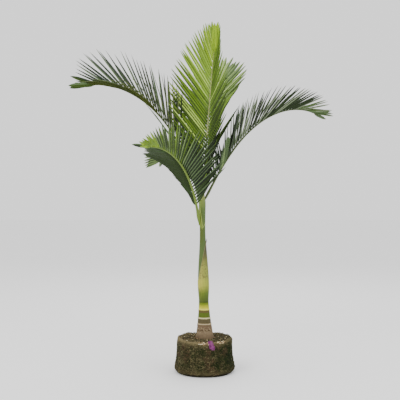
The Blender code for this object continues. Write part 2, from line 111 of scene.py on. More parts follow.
class NodeSheet:
    """Small helper that lays out the shader nodes of one material."""

    # Sockets of the mix node: share, first and second colour, and the mixed colour.
    MIX_INPUTS = (0, 6, 7)
    MIX_OUTPUT = 2

    def __init__(self, name: str) -> None:
        """Start a material with an empty principled shader.

        Args:
            name: name of the material.
        """
        self.material = bpy.data.materials.new(name)
        self.material.use_nodes = True
        self.nodes = self.material.node_tree.nodes
        self.links = self.material.node_tree.links
        self.shader = self.nodes["Principled BSDF"]

    def add(self, kind: str, **values: object) -> bpy.types.Node:
        """Add a node and set its plain properties.

        Args:
            kind: Blender's type name of the node.
            values: properties to set on it.

        Returns:
            The new node.
        """
        node = self.nodes.new(kind)
        for key, value in values.items():
            setattr(node, key, value)
        return node

    def wire(self, source: bpy.types.NodeSocket, target: bpy.types.NodeSocket) -> None:
        """Join an output to an input."""
        self.links.new(source, target)

    def feed(self, value: object, target: bpy.types.NodeSocket) -> None:
        """Join an output to an input, or set the input to a plain value."""
        if isinstance(value, bpy.types.NodeSocket):
            self.wire(value, target)
        else:
            target.default_value = value

    def place(self) -> bpy.types.NodeSocket:
        """Give the point on the object, in its own coordinates."""
        return self.add("ShaderNodeTexCoord").outputs["Object"]

    def stretched(self, scale: tuple[float, float, float]) -> bpy.types.NodeSocket:
        """Give the object's point stretched along its axes.

        Args:
            scale: factor along x, y and z.

        Returns:
            The stretched point.
        """
        mapping = self.add("ShaderNodeMapping")
        mapping.inputs["Scale"].default_value = scale
        self.wire(self.place(), mapping.inputs["Vector"])
        return mapping.outputs["Vector"]

    def cloud(self, point: bpy.types.NodeSocket, scale: float, detail: float = 4.0,
              rough: float = 0.6) -> bpy.types.NodeSocket:
        """Uneven grey pattern.

        Args:
            point: where the pattern is read.
            scale: fineness of the pattern.
            detail: number of finer layers.
            rough: strength of the finer layers.

        Returns:
            The grey value from 0 to 1.
        """
        cloud = self.add("ShaderNodeTexNoise")
        cloud.inputs["Scale"].default_value = scale
        cloud.inputs["Detail"].default_value = detail
        cloud.inputs["Roughness"].default_value = rough
        self.wire(point, cloud.inputs["Vector"])
        return cloud.outputs["Fac"]

    def ramp(self, value: bpy.types.NodeSocket,
             stops: list[tuple[float, tuple[float, ...]]]) -> bpy.types.NodeSocket:
        """Colour by a grey value.

        Args:
            value: the grey value.
            stops: place from 0 to 1 and colour of each stop.

        Returns:
            The colour.
        """
        node = self.add("ShaderNodeValToRGB")
        marks = node.color_ramp.elements
        while len(marks) < len(stops):
            marks.new(0.5)
        for mark, (spot, colour) in zip(marks, sorted(stops)):
            mark.position = spot
            mark.color = colour
        self.wire(value, node.inputs["Fac"])
        return node.outputs["Color"]

    def spread(self, value: bpy.types.NodeSocket, low: float, high: float, to_low: float,
               to_high: float) -> bpy.types.NodeSocket:
        """Map a range of values to another.

        Args:
            value: the value.
            low: start of its range.
            high: end of its range.
            to_low: what the start becomes.
            to_high: what the end becomes.

        Returns:
            The mapped value, kept inside the new range.
        """
        node = self.add("ShaderNodeMapRange")
        numbers = {"From Min": low, "From Max": high, "To Min": to_low, "To Max": to_high}
        for key, number in numbers.items():
            node.inputs[key].default_value = number
        self.wire(value, node.inputs["Value"])
        return node.outputs["Result"]

    def reckon(self, operation: Reckoning, a: bpy.types.NodeSocket,
               b: bpy.types.NodeSocket) -> bpy.types.NodeSocket:
        """Reckon with two values.

        Args:
            operation: what is done with them.
            a: first value.
            b: second value.

        Returns:
            The result.
        """
        node = self.add("ShaderNodeMath", operation=operation.value)
        self.wire(a, node.inputs[0])
        self.wire(b, node.inputs[1])
        return node.outputs["Value"]

    def sum(self, a: bpy.types.NodeSocket, b: bpy.types.NodeSocket) -> bpy.types.NodeSocket:
        """Add two values."""
        return self.reckon(Reckoning.ADD, a, b)

    def product(self, a: bpy.types.NodeSocket, b: bpy.types.NodeSocket) -> bpy.types.NodeSocket:
        """Multiply two values."""
        return self.reckon(Reckoning.MULTIPLY, a, b)

    def mix(self, share: object, a: object, b: object,
            blending: Blending = Blending.MIX) -> bpy.types.NodeSocket:
        """Mix two colours, each a socket or a plain colour.

        Args:
            share: how much of the second colour, a socket or a plain number.
            a: first colour.
            b: second colour.
            blending: how the second is laid over the first.

        Returns:
            The mixed colour.
        """
        node = self.add("ShaderNodeMix", data_type="RGBA", blend_type=blending.value)
        for value, socket in zip((share, a, b), self.MIX_INPUTS):
            self.feed(value, node.inputs[socket])
        return node.outputs[self.MIX_OUTPUT]

    def axis(self, name: str) -> bpy.types.NodeSocket:
        """One coordinate of the object's point, X, Y or Z."""
        split = self.add("ShaderNodeSeparateXYZ")
        self.wire(self.place(), split.inputs[0])
        return split.outputs[name]

    def relief(self, height: bpy.types.NodeSocket, depth: float, strength: float = 1.0) -> None:
        """Raise the surface by a grey value.

        Args:
            height: the grey value.
            depth: height of the relief in metres.
            strength: share of the relief that is used.
        """
        bump = self.add("ShaderNodeBump")
        bump.inputs["Distance"].default_value = depth
        bump.inputs["Strength"].default_value = strength
        self.wire(height, bump.inputs["Height"])
        self.wire(bump.outputs["Normal"], self.shader.inputs["Normal"])

    def surface(self, colour: bpy.types.NodeSocket, roughness: float, gloss: float) -> None:
        """Set the colour, roughness and gloss of the shader.

        Args:
            colour: base colour.
            roughness: plain roughness.
            gloss: plain specular level.
        """
        self.wire(colour, self.shader.inputs["Base Color"])
        self.shader.inputs["Roughness"].default_value = roughness
        self.shader.inputs["Specular IOR Level"].default_value = gloss


class LeafTone(Enum):
    """Plain leaf colours, as mixed before the light falls on them. Some of them hold painted
    light: SHADOW and DARK paint the shade inside the crown, and GLINT and MIST paint highlights
    and sky reflections on the leaflets.
    """

    TIP_LIME = (132, 162, 24)
    LEAF = (108, 140, 38)
    LIME = (122, 152, 46)
    SPRING = (98, 128, 28)
    YOUNG = (74, 100, 14)
    MOSS = (52, 72, 10)
    FOREST = (38, 62, 16)
    DEEP = (34, 51, 10)
    DARK = (22, 34, 9)
    SHADOW = (10, 17, 6)
    GLINT = (162, 190, 84)
    MIST = (116, 128, 100)
    TEAL = (29, 46, 26)
    BLUE = (41, 58, 34)
    SAGE = (106, 128, 74)
    GREY = (76, 96, 58)
    PALE = (152, 174, 106)
    OLIVE = (80, 90, 36)
    RIB = (138, 142, 88)
    STALK = (98, 118, 44)
    DULL_STALK = (68, 78, 38)


@dataclass(frozen=True)
class LeafFinish:
    """Leaf skin: a plain tone with fine lengthwise veins and faint mottling."""

    tone: LeafTone
    roughness: float = 0.48
    gloss: float = 0.2
    mottle: float = 0.07
    mottle_scale: float = 18.0
    veins: float = 6.0
    vein_wander: float = 0.6
    vein_share: float = 0.35
    vein_height: float = 0.0004
    vein_relief: float = 0.5

    def build(self) -> bpy.types.Material:
        """Make the material."""
        sheet = NodeSheet("leaf_" + self.tone.name.lower())
        colour = Vector(linear(self.tone.value)[:3])
        darker = (*(colour * (1.0 - self.mottle)), 1.0)
        lighter = (*(colour * (1.0 + self.mottle)), 1.0)
        mottled = sheet.ramp(sheet.cloud(sheet.place(), self.mottle_scale, 2.0),
                             [(0.32, darker), (0.68, lighter)])
        across = sheet.add("ShaderNodeTexWave", wave_type="BANDS", bands_direction="X")
        across.inputs["Scale"].default_value = self.veins
        across.inputs["Distortion"].default_value = self.vein_wander
        sheet.wire(sheet.add("ShaderNodeUVMap", uv_map=LEAF_SHEET).outputs["UV"],
                   across.inputs["Vector"])
        share = sheet.spread(across.outputs["Fac"], 0.0, 1.0, 0.0, self.vein_share)
        sheet.surface(sheet.mix(share, mottled, lighter), self.roughness, self.gloss)
        sheet.relief(across.outputs["Fac"], self.vein_height, self.vein_relief)
        return sheet.material


@dataclass(frozen=True)
class BandedFinish:
    """Stem skin whose colours change with height, broken by a fine grain, with painted shade that
    can darken its right side.
    """

    name: str
    bands: tuple[tuple[float, Display], ...]
    wander: float
    grain: tuple[float, float, float]
    contrast: float
    roughness: float
    depth: float
    gloss: float = 0.3
    brightest: float = 1.1
    # Painted shade on the right side: its colour, its most, the span in x over which it grows, and
    # how it is laid on.
    shade_tint: Display = (128, 128, 128)
    shade_share: float = 0.0
    shade_reach: tuple[float, float] = (-0.022, 0.010)
    shade_blending: Blending = Blending.MIX
    fleck: Display = (60, 48, 36)
    fleck_share: float = 0.9
    fleck_zone: tuple[float, float] = (0.0, 0.0)
    fleck_fade: float = 0.01
    fleck_grain: tuple[float, float, float] = (170.0, 170.0, 110.0)

    def build(self) -> bpy.types.Material:
        """Make the material."""
        sheet = NodeSheet(self.name)
        grain = sheet.cloud(sheet.stretched(self.grain), 1.0, 5.0, 0.65)
        shift = sheet.spread(sheet.cloud(sheet.place(), 60.0, 3.0), 0.3, 0.7, -self.wander,
                             self.wander)
        height = sheet.sum(sheet.axis("Z"), shift)
        low, high = self.bands[0][0], self.bands[-1][0]
        stops = [((z - low) / (high - low), linear(colour)) for z, colour in self.bands]
        colour = sheet.ramp(sheet.spread(height, low, high, 0.0, 1.0), stops)
        # Painted shade: the right side takes the shade colour, growing over the shade span in x.
        if self.shade_share > 0.0:
            right = sheet.spread(sheet.axis("X"), *self.shade_reach, 0.0, self.shade_share)
            colour = sheet.mix(right, colour, linear(self.shade_tint), self.shade_blending)
        if self.fleck_zone[1] > self.fleck_zone[0]:
            colour = sheet.mix(self.flecks(sheet, height), colour, linear(self.fleck))
        dark = 1.0 - self.contrast
        light = self.brightest
        grey = sheet.ramp(grain, [(0.3, (dark, dark, dark, 1.0)),
                                  (0.7, (light, light, light, 1.0))])
        sheet.surface(sheet.mix(1.0, colour, grey, Blending.MULTIPLY), self.roughness, self.gloss)
        sheet.relief(grain, self.depth)
        return sheet.material

    def flecks(self, sheet: NodeSheet, height: bpy.types.NodeSocket) -> bpy.types.NodeSocket:
        """Share of the fleck colour: scattered spots within a zone of heights.

        Args:
            sheet: the nodes of the material.
            height: height on the stem.

        Returns:
            The share.
        """
        low, high = self.fleck_zone
        spots = sheet.cloud(sheet.stretched(self.fleck_grain), 1.0, 2.0, 0.5)
        spots = sheet.spread(spots, 0.56, 0.62, 0.0, self.fleck_share)
        inside = sheet.product(sheet.spread(height, low - self.fleck_fade, low, 0.0, 1.0),
                               sheet.spread(height, high, high + self.fleck_fade, 1.0, 0.0))
        return sheet.product(spots, inside)


@dataclass(frozen=True)
class SoilFinish:
    """Matted roots and soil: brown fibre, patches of moss, paler crumbs above and below, and
    painted shade, moss green on the right side and dark at the tucked-in foot.
    """

    name: str = "matted_soil"
    dark: Display = (14, 14, 5)
    brown: Display = (54, 52, 32)
    straw: Display = (130, 121, 86)
    moss: Display = (20, 32, 8)
    russet: Display = (78, 54, 42)
    top: Display = (124, 111, 80)
    rim: Display = (90, 78, 54)
    roughness: float = 0.95
    gloss: float = 0.1
    depth: float = 0.0035

    def build(self) -> bpy.types.Material:
        """Make the material: fibre first, then each stain, fleck and shade laid over it."""
        sheet = NodeSheet(self.name)
        height, across = sheet.axis("Z"), sheet.axis("X")
        strands = sheet.cloud(sheet.stretched((120.0, 120.0, 170.0)), 1.0, 6.0, 0.75)
        stains = sheet.cloud(sheet.stretched((15.0, 15.0, 11.0)), 1.0, 2.0)
        patches = sheet.spread(sheet.cloud(sheet.place(), 26.0, 4.0), 0.42, 0.58, 0.0, 1.0)
        # Patches of moss that grow stronger towards the right side, where they are partly painted
        # shade.
        moss_patches_and_shade = sheet.product(patches, sheet.spread(across, -0.06, 0.12, 0.62, 1.15))
        flecks = sheet.cloud(sheet.stretched((190.0, 190.0, 260.0)), 1.0, 5.0, 0.7)
        colour = sheet.ramp(strands, [(0.36, linear(self.dark)), (0.50, linear(self.brown)),
                                      (0.70, linear(self.straw))])
        # The second coat is those moss patches; the seventh is painted shade on the right side in
        # the moss colour; the last is painted shade on the tucked-in foot.
        # Each coat: what it follows, where it starts, where it is full, its most, its colour.
        coats = ((stains, 0.54, 0.64, 0.5, self.russet), (moss_patches_and_shade, 0.1, 0.9, 0.9, self.moss),
                 (height, 0.160, 0.190, 0.75, self.top), (height, 0.050, 0.022, 0.5, self.rim),
                 (flecks, 0.60, 0.68, 0.85, self.straw), (flecks, 0.46, 0.38, 0.9, self.dark),
                 (across, 0.05, 0.15, 0.45, self.moss), (height, 0.018, 0.006, 0.95, self.dark))
        for value, start, full, most, tone in coats:
            share = sheet.spread(value, start, full, 0.0, most)
            colour = sheet.mix(share, colour, linear(tone))
        sheet.surface(colour, self.roughness, self.gloss)
        sheet.relief(strands, self.depth)
        return sheet.material


@dataclass(frozen=True)
class SpeckFinish:
    """Small dry thing: one colour with a soft uneven shade."""

    name: str
    colour: Display
    roughness: float = 0.85
    gloss: float = 0.2
    darkest: float = 0.72
    lightest: float = 1.15

    def build(self) -> bpy.types.Material:
        """Make the material."""
        sheet = NodeSheet(self.name)
        base = Vector(linear(self.colour)[:3])
        shade = sheet.ramp(sheet.cloud(sheet.place(), 120.0),
                           [(0.3, (*(base * self.darkest), 1.0)),
                            (0.7, (*(base * self.lightest), 1.0))])
        sheet.surface(shade, self.roughness, self.gloss)
        return sheet.material


# Making meshes


def deselect() -> None:
    """Leave nothing selected, in object mode."""
    if bpy.context.object is not None and bpy.context.object.mode != "OBJECT":
        bpy.ops.object.mode_set(mode="OBJECT")
    bpy.ops.object.select_all(action="DESELECT")


def take_hold(obj: bpy.types.Object) -> None:
    """Make one object the only selected and active one."""
    deselect()
    obj.select_set(True)
    bpy.context.view_layer.objects.active = obj


def place_ring(obj: bpy.types.Object, points: list[Vector]) -> None:
    """Put the selected ring of a mesh in edit mode on a list of points.

    Args:
        obj: the object in edit mode, whose corners carry their number in the ring.
        points: one point for each corner of the ring.
    """
    mesh = bmesh.from_edit_mesh(obj.data)
    spot = mesh.verts.layers.int["spot"]
    for corner in mesh.verts:
        if corner.select:
            corner.co = points[corner[spot]]
    bmesh.update_edit_mesh(obj.data, loop_triangles=False)


def loft(name: str, rings: list[list[Vector]]) -> bpy.types.Object:
    """Raise a flat disc through a list of rings into a closed form.

    Args:
        name: name of the piece.
        rings: rings of points, from the first end to the last.

    Returns:
        The closed form, in object mode.
    """
    deselect()
    bpy.ops.mesh.primitive_circle_add(vertices=len(rings[0]), radius=1.0, fill_type="NGON",
                                      enter_editmode=True)
    obj = bpy.context.object
    obj.name = name
    obj.data.name = name
    mesh = bmesh.from_edit_mesh(obj.data)
    spot = mesh.verts.layers.int.new("spot")
    for number, corner in enumerate(mesh.verts):
        corner[spot] = number
    bmesh.update_edit_mesh(obj.data)
    place_ring(obj, rings[0])
    for ring in rings[1:]:
        bpy.ops.mesh.extrude_region_move()
        place_ring(obj, ring)
    bpy.ops.mesh.select_all(action="SELECT")
    bpy.ops.mesh.normals_make_consistent(inside=False)
    bpy.ops.object.mode_set(mode="OBJECT")
    obj.data.attributes.remove(obj.data.attributes["spot"])
    return obj


class Heap:
    """Many small closed shapes gathered as arrays and joined into one mesh."""

    ASKEW_UP = Vector((0.31, 0.22, 0.93))

    def __init__(self) -> None:
        """Start an empty heap."""
        self.points: list[Vector] = []
        self.faces: list[tuple[int, ...]] = []
        self.finishes: list[int] = []
        self.sheet: dict[int, tuple[float, float]] = {}

    def add(self, points: list[Vector], faces: list[tuple[int, ...]], finishes: list[int],
            sheet: list[tuple[float, float]] | None = None) -> None:
        """Add one closed shape.

        Args:
            points: its corners.
            faces: its faces, numbered in its own corners.
            finishes: number of the finish of each face.
            sheet: place of each corner across and along the shape, if it has one.
        """
        base = len(self.points)
        self.points.extend(points)
        for face in faces:
            self.faces.append(tuple(base + corner for corner in face))
        self.finishes.extend(finishes)
        for number, spot in enumerate(sheet or []):
            self.sheet[base + number] = spot

    def tube(self, line: list[Vector], radii: list[float], sides: int, finish: int) -> None:
        """Add a thin closed tube along a line.

        Args:
            line: points of the centreline.
            radii: radius at each point.
            sides: number of sides.
            finish: number of its finish.
        """
        points = []
        for i, centre in enumerate(line):
            ahead = (line[min(i + 1, len(line) - 1)] - line[max(i - 1, 0)]).normalized()
            side = ahead.cross(self.ASKEW_UP).normalized()
            over = side.cross(ahead)
            for k in range(sides):
                a = FULL_TURN * k / sides
                points.append(centre + (side * math.cos(a) + over * math.sin(a)) * radii[i])
        faces = []
        for i in range(len(line) - 1):
            for k in range(sides):
                n = (k + 1) % sides
                faces.append((i * sides + k, i * sides + n, (i + 1) * sides + n,
                              (i + 1) * sides + k))
        last = (len(line) - 1) * sides
        faces.append(tuple(reversed(range(sides))))
        faces.append(tuple(last + k for k in range(sides)))
        self.add(points, faces, [finish] * len(faces))

    def to_object(self, name: str, finishes: list[bpy.types.Material]) -> bpy.types.Object:
        """Join all shapes into one object with outward faces.

        Args:
            name: name of the piece.
            finishes: its materials, in the order of their numbers.

        Returns:
            The piece.
        """
        mesh = bpy.data.meshes.new(name)
        mesh.from_pydata(self.points, [], self.faces)
        for material in finishes:
            mesh.materials.append(material)
        mesh.polygons.foreach_set("material_index", self.finishes)
        if self.sheet:
            layer = mesh.uv_layers.new(name=LEAF_SHEET)
            for loop in mesh.loops:
                layer.data[loop.index].uv = self.sheet[loop.vertex_index]
        obj = bpy.data.objects.new(name, mesh)
        bpy.context.scene.collection.objects.link(obj)
        take_hold(obj)
        bpy.ops.object.mode_set(mode="EDIT")
        bpy.ops.mesh.select_all(action="SELECT")
        bpy.ops.mesh.normals_make_consistent(inside=False)
        bpy.ops.object.mode_set(mode="OBJECT")
        return obj


def roughen(obj: bpy.types.Object, size: float, strength: float,
            weight: Callable[[Vector], float]) -> None:
    """Displace a form by a soft cloudy pattern and apply it.

    Args:
        obj: the form.
        size: size of the pattern's forms in metres.
        strength: height from its lowest to its highest place.
        weight: share of the relief at a point, from 0 to 1.
    """
    take_hold(obj)
    group = obj.vertex_groups.new(name="loose")
    for corner in obj.data.vertices:
        group.add([corner.index], weight(corner.co), "REPLACE")
    pattern = bpy.data.textures.new(obj.name + "_pattern", "CLOUDS")
    pattern.noise_scale = size
    change = obj.modifiers.new("relief", "DISPLACE")
    change.texture = pattern
    change.texture_coords = "LOCAL"
    change.strength = strength
    change.mid_level = 0.5
    change.vertex_group = group.name
    bpy.ops.object.modifier_apply(modifier=change.name)
    obj.vertex_groups.clear()


def smooth(obj: bpy.types.Object, angle: float = 40.0) -> None:
    """Shade a form smooth where its faces meet at less than an angle in degrees."""
    take_hold(obj)
    bpy.ops.object.shade_smooth_by_angle(angle=math.radians(angle))


def hand_over(obj: bpy.types.Object, nodes: list[str]) -> None:
    """Let a finished piece ride on the palm and stand for its solids.

    Args:
        obj: the piece.
        nodes: solids that it stands for.
    """
    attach(obj, BODY)
    if nodes:
        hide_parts(*nodes)
    triangles = sum(len(p.vertices) - 2 for p in obj.data.polygons)
    LOG.info("%s: %d triangles", obj.name, triangles)


# The stem and the root ball


@dataclass(frozen=True)
class StemLine:
    """Leaning axis and swelling outline of the stem, from the soil to the crown."""

    foot_x: float = 0.0038
    shift: float = 0.0154
    span: float = 0.66
    power: float = 0.6
    soil_z: float = 0.190
    trunk_top_z: float = 0.401
    trunk_top_r: float = 0.0284
    flare: float = 0.0234
    flare_power: float = 1.35
    swell_z: float = 0.495
    swell_r: float = 0.0320
    neck_z: float = 0.815
    neck_r: float = 0.0165
    top_z: float = 0.985
    top_r: float = 0.0203

    def axis_x(self, z: float) -> float:
        """Sideways place of the axis at a height."""
        t = max(0.0, (z - self.soil_z) / self.span)
        return self.foot_x - self.shift * t ** self.power

    def shaft_radius(self, z: float) -> float:
        """Radius of the sheaths at a height."""
        if z < self.swell_z:
            t = smooth_step((z - self.trunk_top_z) / (self.swell_z - self.trunk_top_z))
            return blend(self.trunk_top_r, self.swell_r, t)
        if z < self.neck_z:
            t = smooth_step((z - self.swell_z) / (self.neck_z - self.swell_z))
            return blend(self.swell_r, self.neck_r, t)
        t = smooth_step((z - self.neck_z) / (self.top_z - self.neck_z))
        return blend(self.neck_r, self.top_r, t)

    def trunk_radius(self, z: float) -> float:
        """Radius of the trunk at a height, without its leaf scars."""
        t = (self.trunk_top_z - z) / (self.trunk_top_z - self.soil_z)
        return self.trunk_top_r + self.flare * max(0.0, t) ** self.flare_power

    def ring(self, radius: float, z: float, sides: int) -> list[Vector]:
        """Round level ring on the axis.

        Args:
            radius: radius of the ring.
            z: its height.
            sides: number of points.

        Returns:
            The points of the ring.
        """
        x = self.axis_x(z)
        turns = [FULL_TURN * k / sides for k in range(sides)]
        return [Vector((x + radius * math.cos(a), radius * math.sin(a), z)) for a in turns]

    def on_shaft(self, compass: float, z: float, lift: float = 0.0) -> Vector:
        """Point on the skin of the sheaths.

        Args:
            compass: direction from the axis in degrees, 0 to the right and 270 to the viewer.
            z: height.
            lift: distance above the skin.

        Returns:
            The point.
        """
        a = math.radians(compass)
        r = self.shaft_radius(z) + lift
        return Vector((self.axis_x(z) + r * math.cos(a), r * math.sin(a), z))


STEM = StemLine()


@dataclass
class RootBall:
    """Pot-shaped ball of matted roots and soil, with loose crumbs and one fallen petal."""

    foot_r: float = 0.152
    wide_r: float = 0.1735
    wide_z: float = 0.030
    body_r: float = 0.158
    top_z: float = 0.190
    waist_power: float = 2.2
    shoulder: float = 0.009
    shoulder_in: float = 0.005
    shoulder_power: float = 1.6
    hub_r: float = 0.030
    rim_rise: float = 0.014
    rim_low: float = 0.4
    lumps: float = 0.0020
    sides: int = 168
    roots: int = 3400
    root_points: int = 7
    roots_on_top: float = 0.28
    root_length: tuple[float, float] = (0.008, 0.034)
    root_radius: tuple[float, float] = (0.00035, 0.0009)
    shaded_side_from_x: float = 0.06
    crumbs: int = 420
    collar_crumbs: int = 130
    grit_patches: tuple[tuple[float, float, int], ...] = ((-0.006, 0.027, 66), (0.091, 0.020, 44))
    seed: int = 11
    rng: random.Random = field(init=False)

    def __post_init__(self) -> None:
        """Start the ball's own seeded chance."""
        self.rng = random.Random(self.seed)

    def wall_radius(self, z: float) -> float:
        """Radius of the side wall at a height."""
        if z < self.wide_z:
            t = 1.0 - z / self.wide_z
            return self.foot_r + (self.wide_r - self.foot_r) * math.sqrt(max(0.0, 1.0 - t * t))
        t = min(1.0, (z - self.wide_z) / (self.top_z - self.shoulder - self.wide_z))
        return self.body_r + (self.wide_r - self.body_r) * (1.0 - t) ** self.waist_power

    def swell(self, angle: float, z: float) -> float:
        """Uneven swelling of the ball, from -1 to 1."""
        return (0.5 * math.sin(5.0 * angle + 9.0 * z + 0.6)
                + 0.3 * math.sin(9.0 * angle - 31.0 * z + 2.1)
                + 0.2 * math.sin(14.0 * angle + 47.0 * z))

    def rim_height(self, angle: float) -> float:
        """Height of the raised rim, most at the left and the right."""
        return self.rim_rise * (0.6 + 0.4 * self.swell(angle, 0.3)) * abs(math.cos(angle))

    def rim_share(self, radius: float) -> float:
        """Share of the rim's height at a distance from the middle."""
        edge = self.body_r - self.shoulder_in
        return smooth_step(1.0 - 3.0 * (edge - radius) / (edge - self.hub_r))

    def level(self, radius: float, z: float, lumpy: float, rim: float) -> list[Vector]:
        """One level ring of the ball.

        Args:
            radius: its mean radius.
            z: its height.
            lumpy: share of the uneven swelling.
            rim: share of the raised rim.

        Returns:
            The points of the ring.
        """
        points = []
        for k in range(self.sides):
            a = FULL_TURN * k / self.sides
            r = radius + self.lumps * lumpy * self.swell(a, z)
            rise = rim * self.rim_height(a)
            points.append(Vector((r * math.cos(a), r * math.sin(a), z + rise)))
        return points

    def levels(self) -> list[list[Vector]]:
        """All rings of the ball, from the middle of its underside to that of its top."""
        rings = [self.level(self.foot_r * share, 0.0, 0.0, 0.0) for share in (0.3, 0.7, 0.93, 1.0)]
        corner_rows, wall_rows, shoulder_rows, top_rows = 9, 52, 5, 30
        for i in range(1, corner_rows + 1):
            a = 0.5 * math.pi * i / corner_rows
            r = self.foot_r + (self.wide_r - self.foot_r) * math.sin(a)
            rings.append(self.level(r, self.wide_z * (1.0 - math.cos(a)), i / corner_rows, 0.0))
        for i in range(1, wall_rows + 1):
            z = blend(self.wide_z, self.top_z - self.shoulder, i / wall_rows)
            rim = self.rim_low * smooth_step(i / wall_rows * 3.0 - 2.0)
            rings.append(self.level(self.wall_radius(z), z, 1.0, rim))
        for i in range(1, shoulder_rows + 1):
            t = i / shoulder_rows
            r = self.body_r - self.shoulder_in * t ** self.shoulder_power
            z = self.top_z - self.shoulder * (1.0 - t) ** self.shoulder_power
            rings.append(self.level(r, z, 1.0, blend(self.rim_low, 1.0, t)))
        for i in range(1, top_rows + 1):
            t = i / top_rows
            r = blend(self.body_r - self.shoulder_in, self.hub_r, t)
            z = self.top_z + 0.001 - 0.003 * math.sin(math.pi * t)
            rings.append(self.level(r, z, 1.0 - t, self.rim_share(r)))
        return rings

    def build_body(self) -> bpy.types.Object:
        """Body of the ball with its matted relief."""
        body = loft("root_ball_body", self.levels())

        def above_ground(point: Vector) -> float:
            """Share of the relief: none on the flat underside or against the trunk."""
            far = smooth_step((math.hypot(point.x, point.y) - 0.045) / 0.03)
            return smooth_step((point.z - 0.001) / 0.02) * far

        for size, strength in ((0.020, 0.0075), (0.0065, 0.0042)):
            roughen(body, size, strength, above_ground)
        smooth(body, 60.0)
        body.data.materials.append(SoilFinish().build())
        return body

    def root_line(self) -> tuple[list[Vector], float]:
        """Wandering line of one matted root on the wall or the top, and its thickness."""
        rng = self.rng
        on_top = rng.random() < self.roots_on_top
        step = rng.uniform(*self.root_length) / self.root_points
        a = rng.uniform(0.0, FULL_TURN)
        z = rng.uniform(0.012, self.top_z - 0.004)
        r = rng.uniform(0.062, self.body_r - 0.008)
        course = rng.gauss(0.0, 0.55) + (math.pi if rng.random() < 0.5 else 0.0)
        bend = rng.gauss(0.0, 0.35)
        thick = rng.uniform(*self.root_radius)
        line = []
        for _ in range(self.root_points):
            if on_top:
                rise = self.rim_share(r) * self.rim_height(a)
                spot = Vector((r * math.cos(a), r * math.sin(a), self.top_z + 0.0035 + rise))
                a += step * math.cos(course) / r
                r = min(self.body_r - 0.006, max(0.056, r + step * math.sin(course)))
            else:
                w = self.wall_radius(z) + 0.0018 * self.swell(a, z) + rng.uniform(0.0, 0.0028)
                spot = Vector((w * math.cos(a), w * math.sin(a), z))
                a += step * math.cos(course) / w
                z = min(self.top_z - 0.002, max(0.008, z + step * math.sin(course)))
            line.append(spot)
            course += bend
        return line, thick

    def build_fibres(self) -> bpy.types.Object:
        """Fine roots that lie matted over the wall and the top."""
        heap = Heap()
        for _ in range(self.roots):
            line, thick = self.root_line()
            radii = [thick * (1.0 - 0.75 * (i / (len(line) - 1)) ** 2) for i in range(len(line))]
            # Farther right, more fibres take the dark and the moss finish: painted shade on the
            # right side of the ball.
            shares = (3, 4, 4, 4) if line[0].x < self.shaded_side_from_x else (1, 3, 5, 7)
            heap.tube(line, radii, 3, self.rng.choices((0, 1, 2, 3), shares)[0])
        tones = (("root_straw", (128, 120, 84)), ("root_brown", (72, 62, 38)),
                 ("root_dark", (24, 20, 10)), ("root_moss", (36, 48, 16)))
        return heap.to_object("root_ball_fibres", [SpeckFinish(*tone).build() for tone in tones])

    def crumb(self, heap: Heap, centre: Vector, size: float, finish: int) -> None:
        """Add one lump with eight uneven faces.

        Args:
            heap: where it goes.
            centre: its middle.
            size: its radius.
            finish: number of its finish.
        """
        rng = self.rng
        turn = rng.uniform(0.0, math.pi)
        points = []
        for k in range(4):
            a = turn + 0.5 * math.pi * k
            r = size * rng.uniform(0.75, 1.2)
            points.append(centre + Vector((r * math.cos(a), r * math.sin(a),
                                           size * rng.uniform(-0.15, 0.15))))
        points.append(centre + Vector((0.0, 0.0, size * rng.uniform(0.5, 0.8))))
        points.append(centre - Vector((0.0, 0.0, size * rng.uniform(0.5, 0.8))))
        faces = [(k, (k + 1) % 4, 4) for k in range(4)]
        faces += [((k + 1) % 4, k, 5) for k in range(4)]
        heap.add(points, faces, [finish] * len(faces))

    def build_crumbs(self) -> bpy.types.Object:
        """Loose crumbs of soil on the top and round the trunk, and pale grit on the front rim."""
        heap = Heap()
        rng = self.rng
        for _ in range(self.crumbs):
            a = rng.uniform(0.0, FULL_TURN)
            r = self.body_r * math.sqrt(rng.uniform(0.16, 0.93))
            size = rng.uniform(0.0015, 0.0042)
            rise = self.rim_share(r) * self.rim_height(a) + 0.002 + 0.3 * size
            centre = Vector((r * math.cos(a), r * math.sin(a), self.top_z + rise))
            self.crumb(heap, centre, size, rng.choices((0, 1, 2), (5, 4, 1))[0])
        for _ in range(self.collar_crumbs):
            a = rng.uniform(0.0, FULL_TURN)
            r = rng.uniform(0.047, 0.064)
            size = rng.uniform(0.0020, 0.0048)
            centre = Vector((r * math.cos(a), r * math.sin(a), self.top_z + 0.001 + 0.4 * size))
            self.crumb(heap, centre, size, rng.choices((0, 1, 3), (3, 5, 2))[0])
        for middle, reach, count in self.grit_patches:
            for _ in range(count):
                x = middle + rng.uniform(-reach, reach)
                size = rng.uniform(0.0030, 0.0074)
                edge = math.sqrt(self.body_r ** 2 - x * x)
                back = rng.uniform(-0.005, 0.014)
                z = self.top_z + 0.003 - 0.5 * max(0.0, 0.006 - back) - 0.004 * rng.random()
                self.crumb(heap, Vector((x, -edge + back, z)), size, rng.choice((2, 2, 3, 3, 1)))
        tones = (("crumb_dark", (34, 28, 16)), ("crumb_brown", (104, 86, 58)),
                 ("grit_cream", (214, 200, 160)), ("grit_tan", (160, 132, 96)))
        return heap.to_object("root_ball_crumbs", [SpeckFinish(*tone).build() for tone in tones])

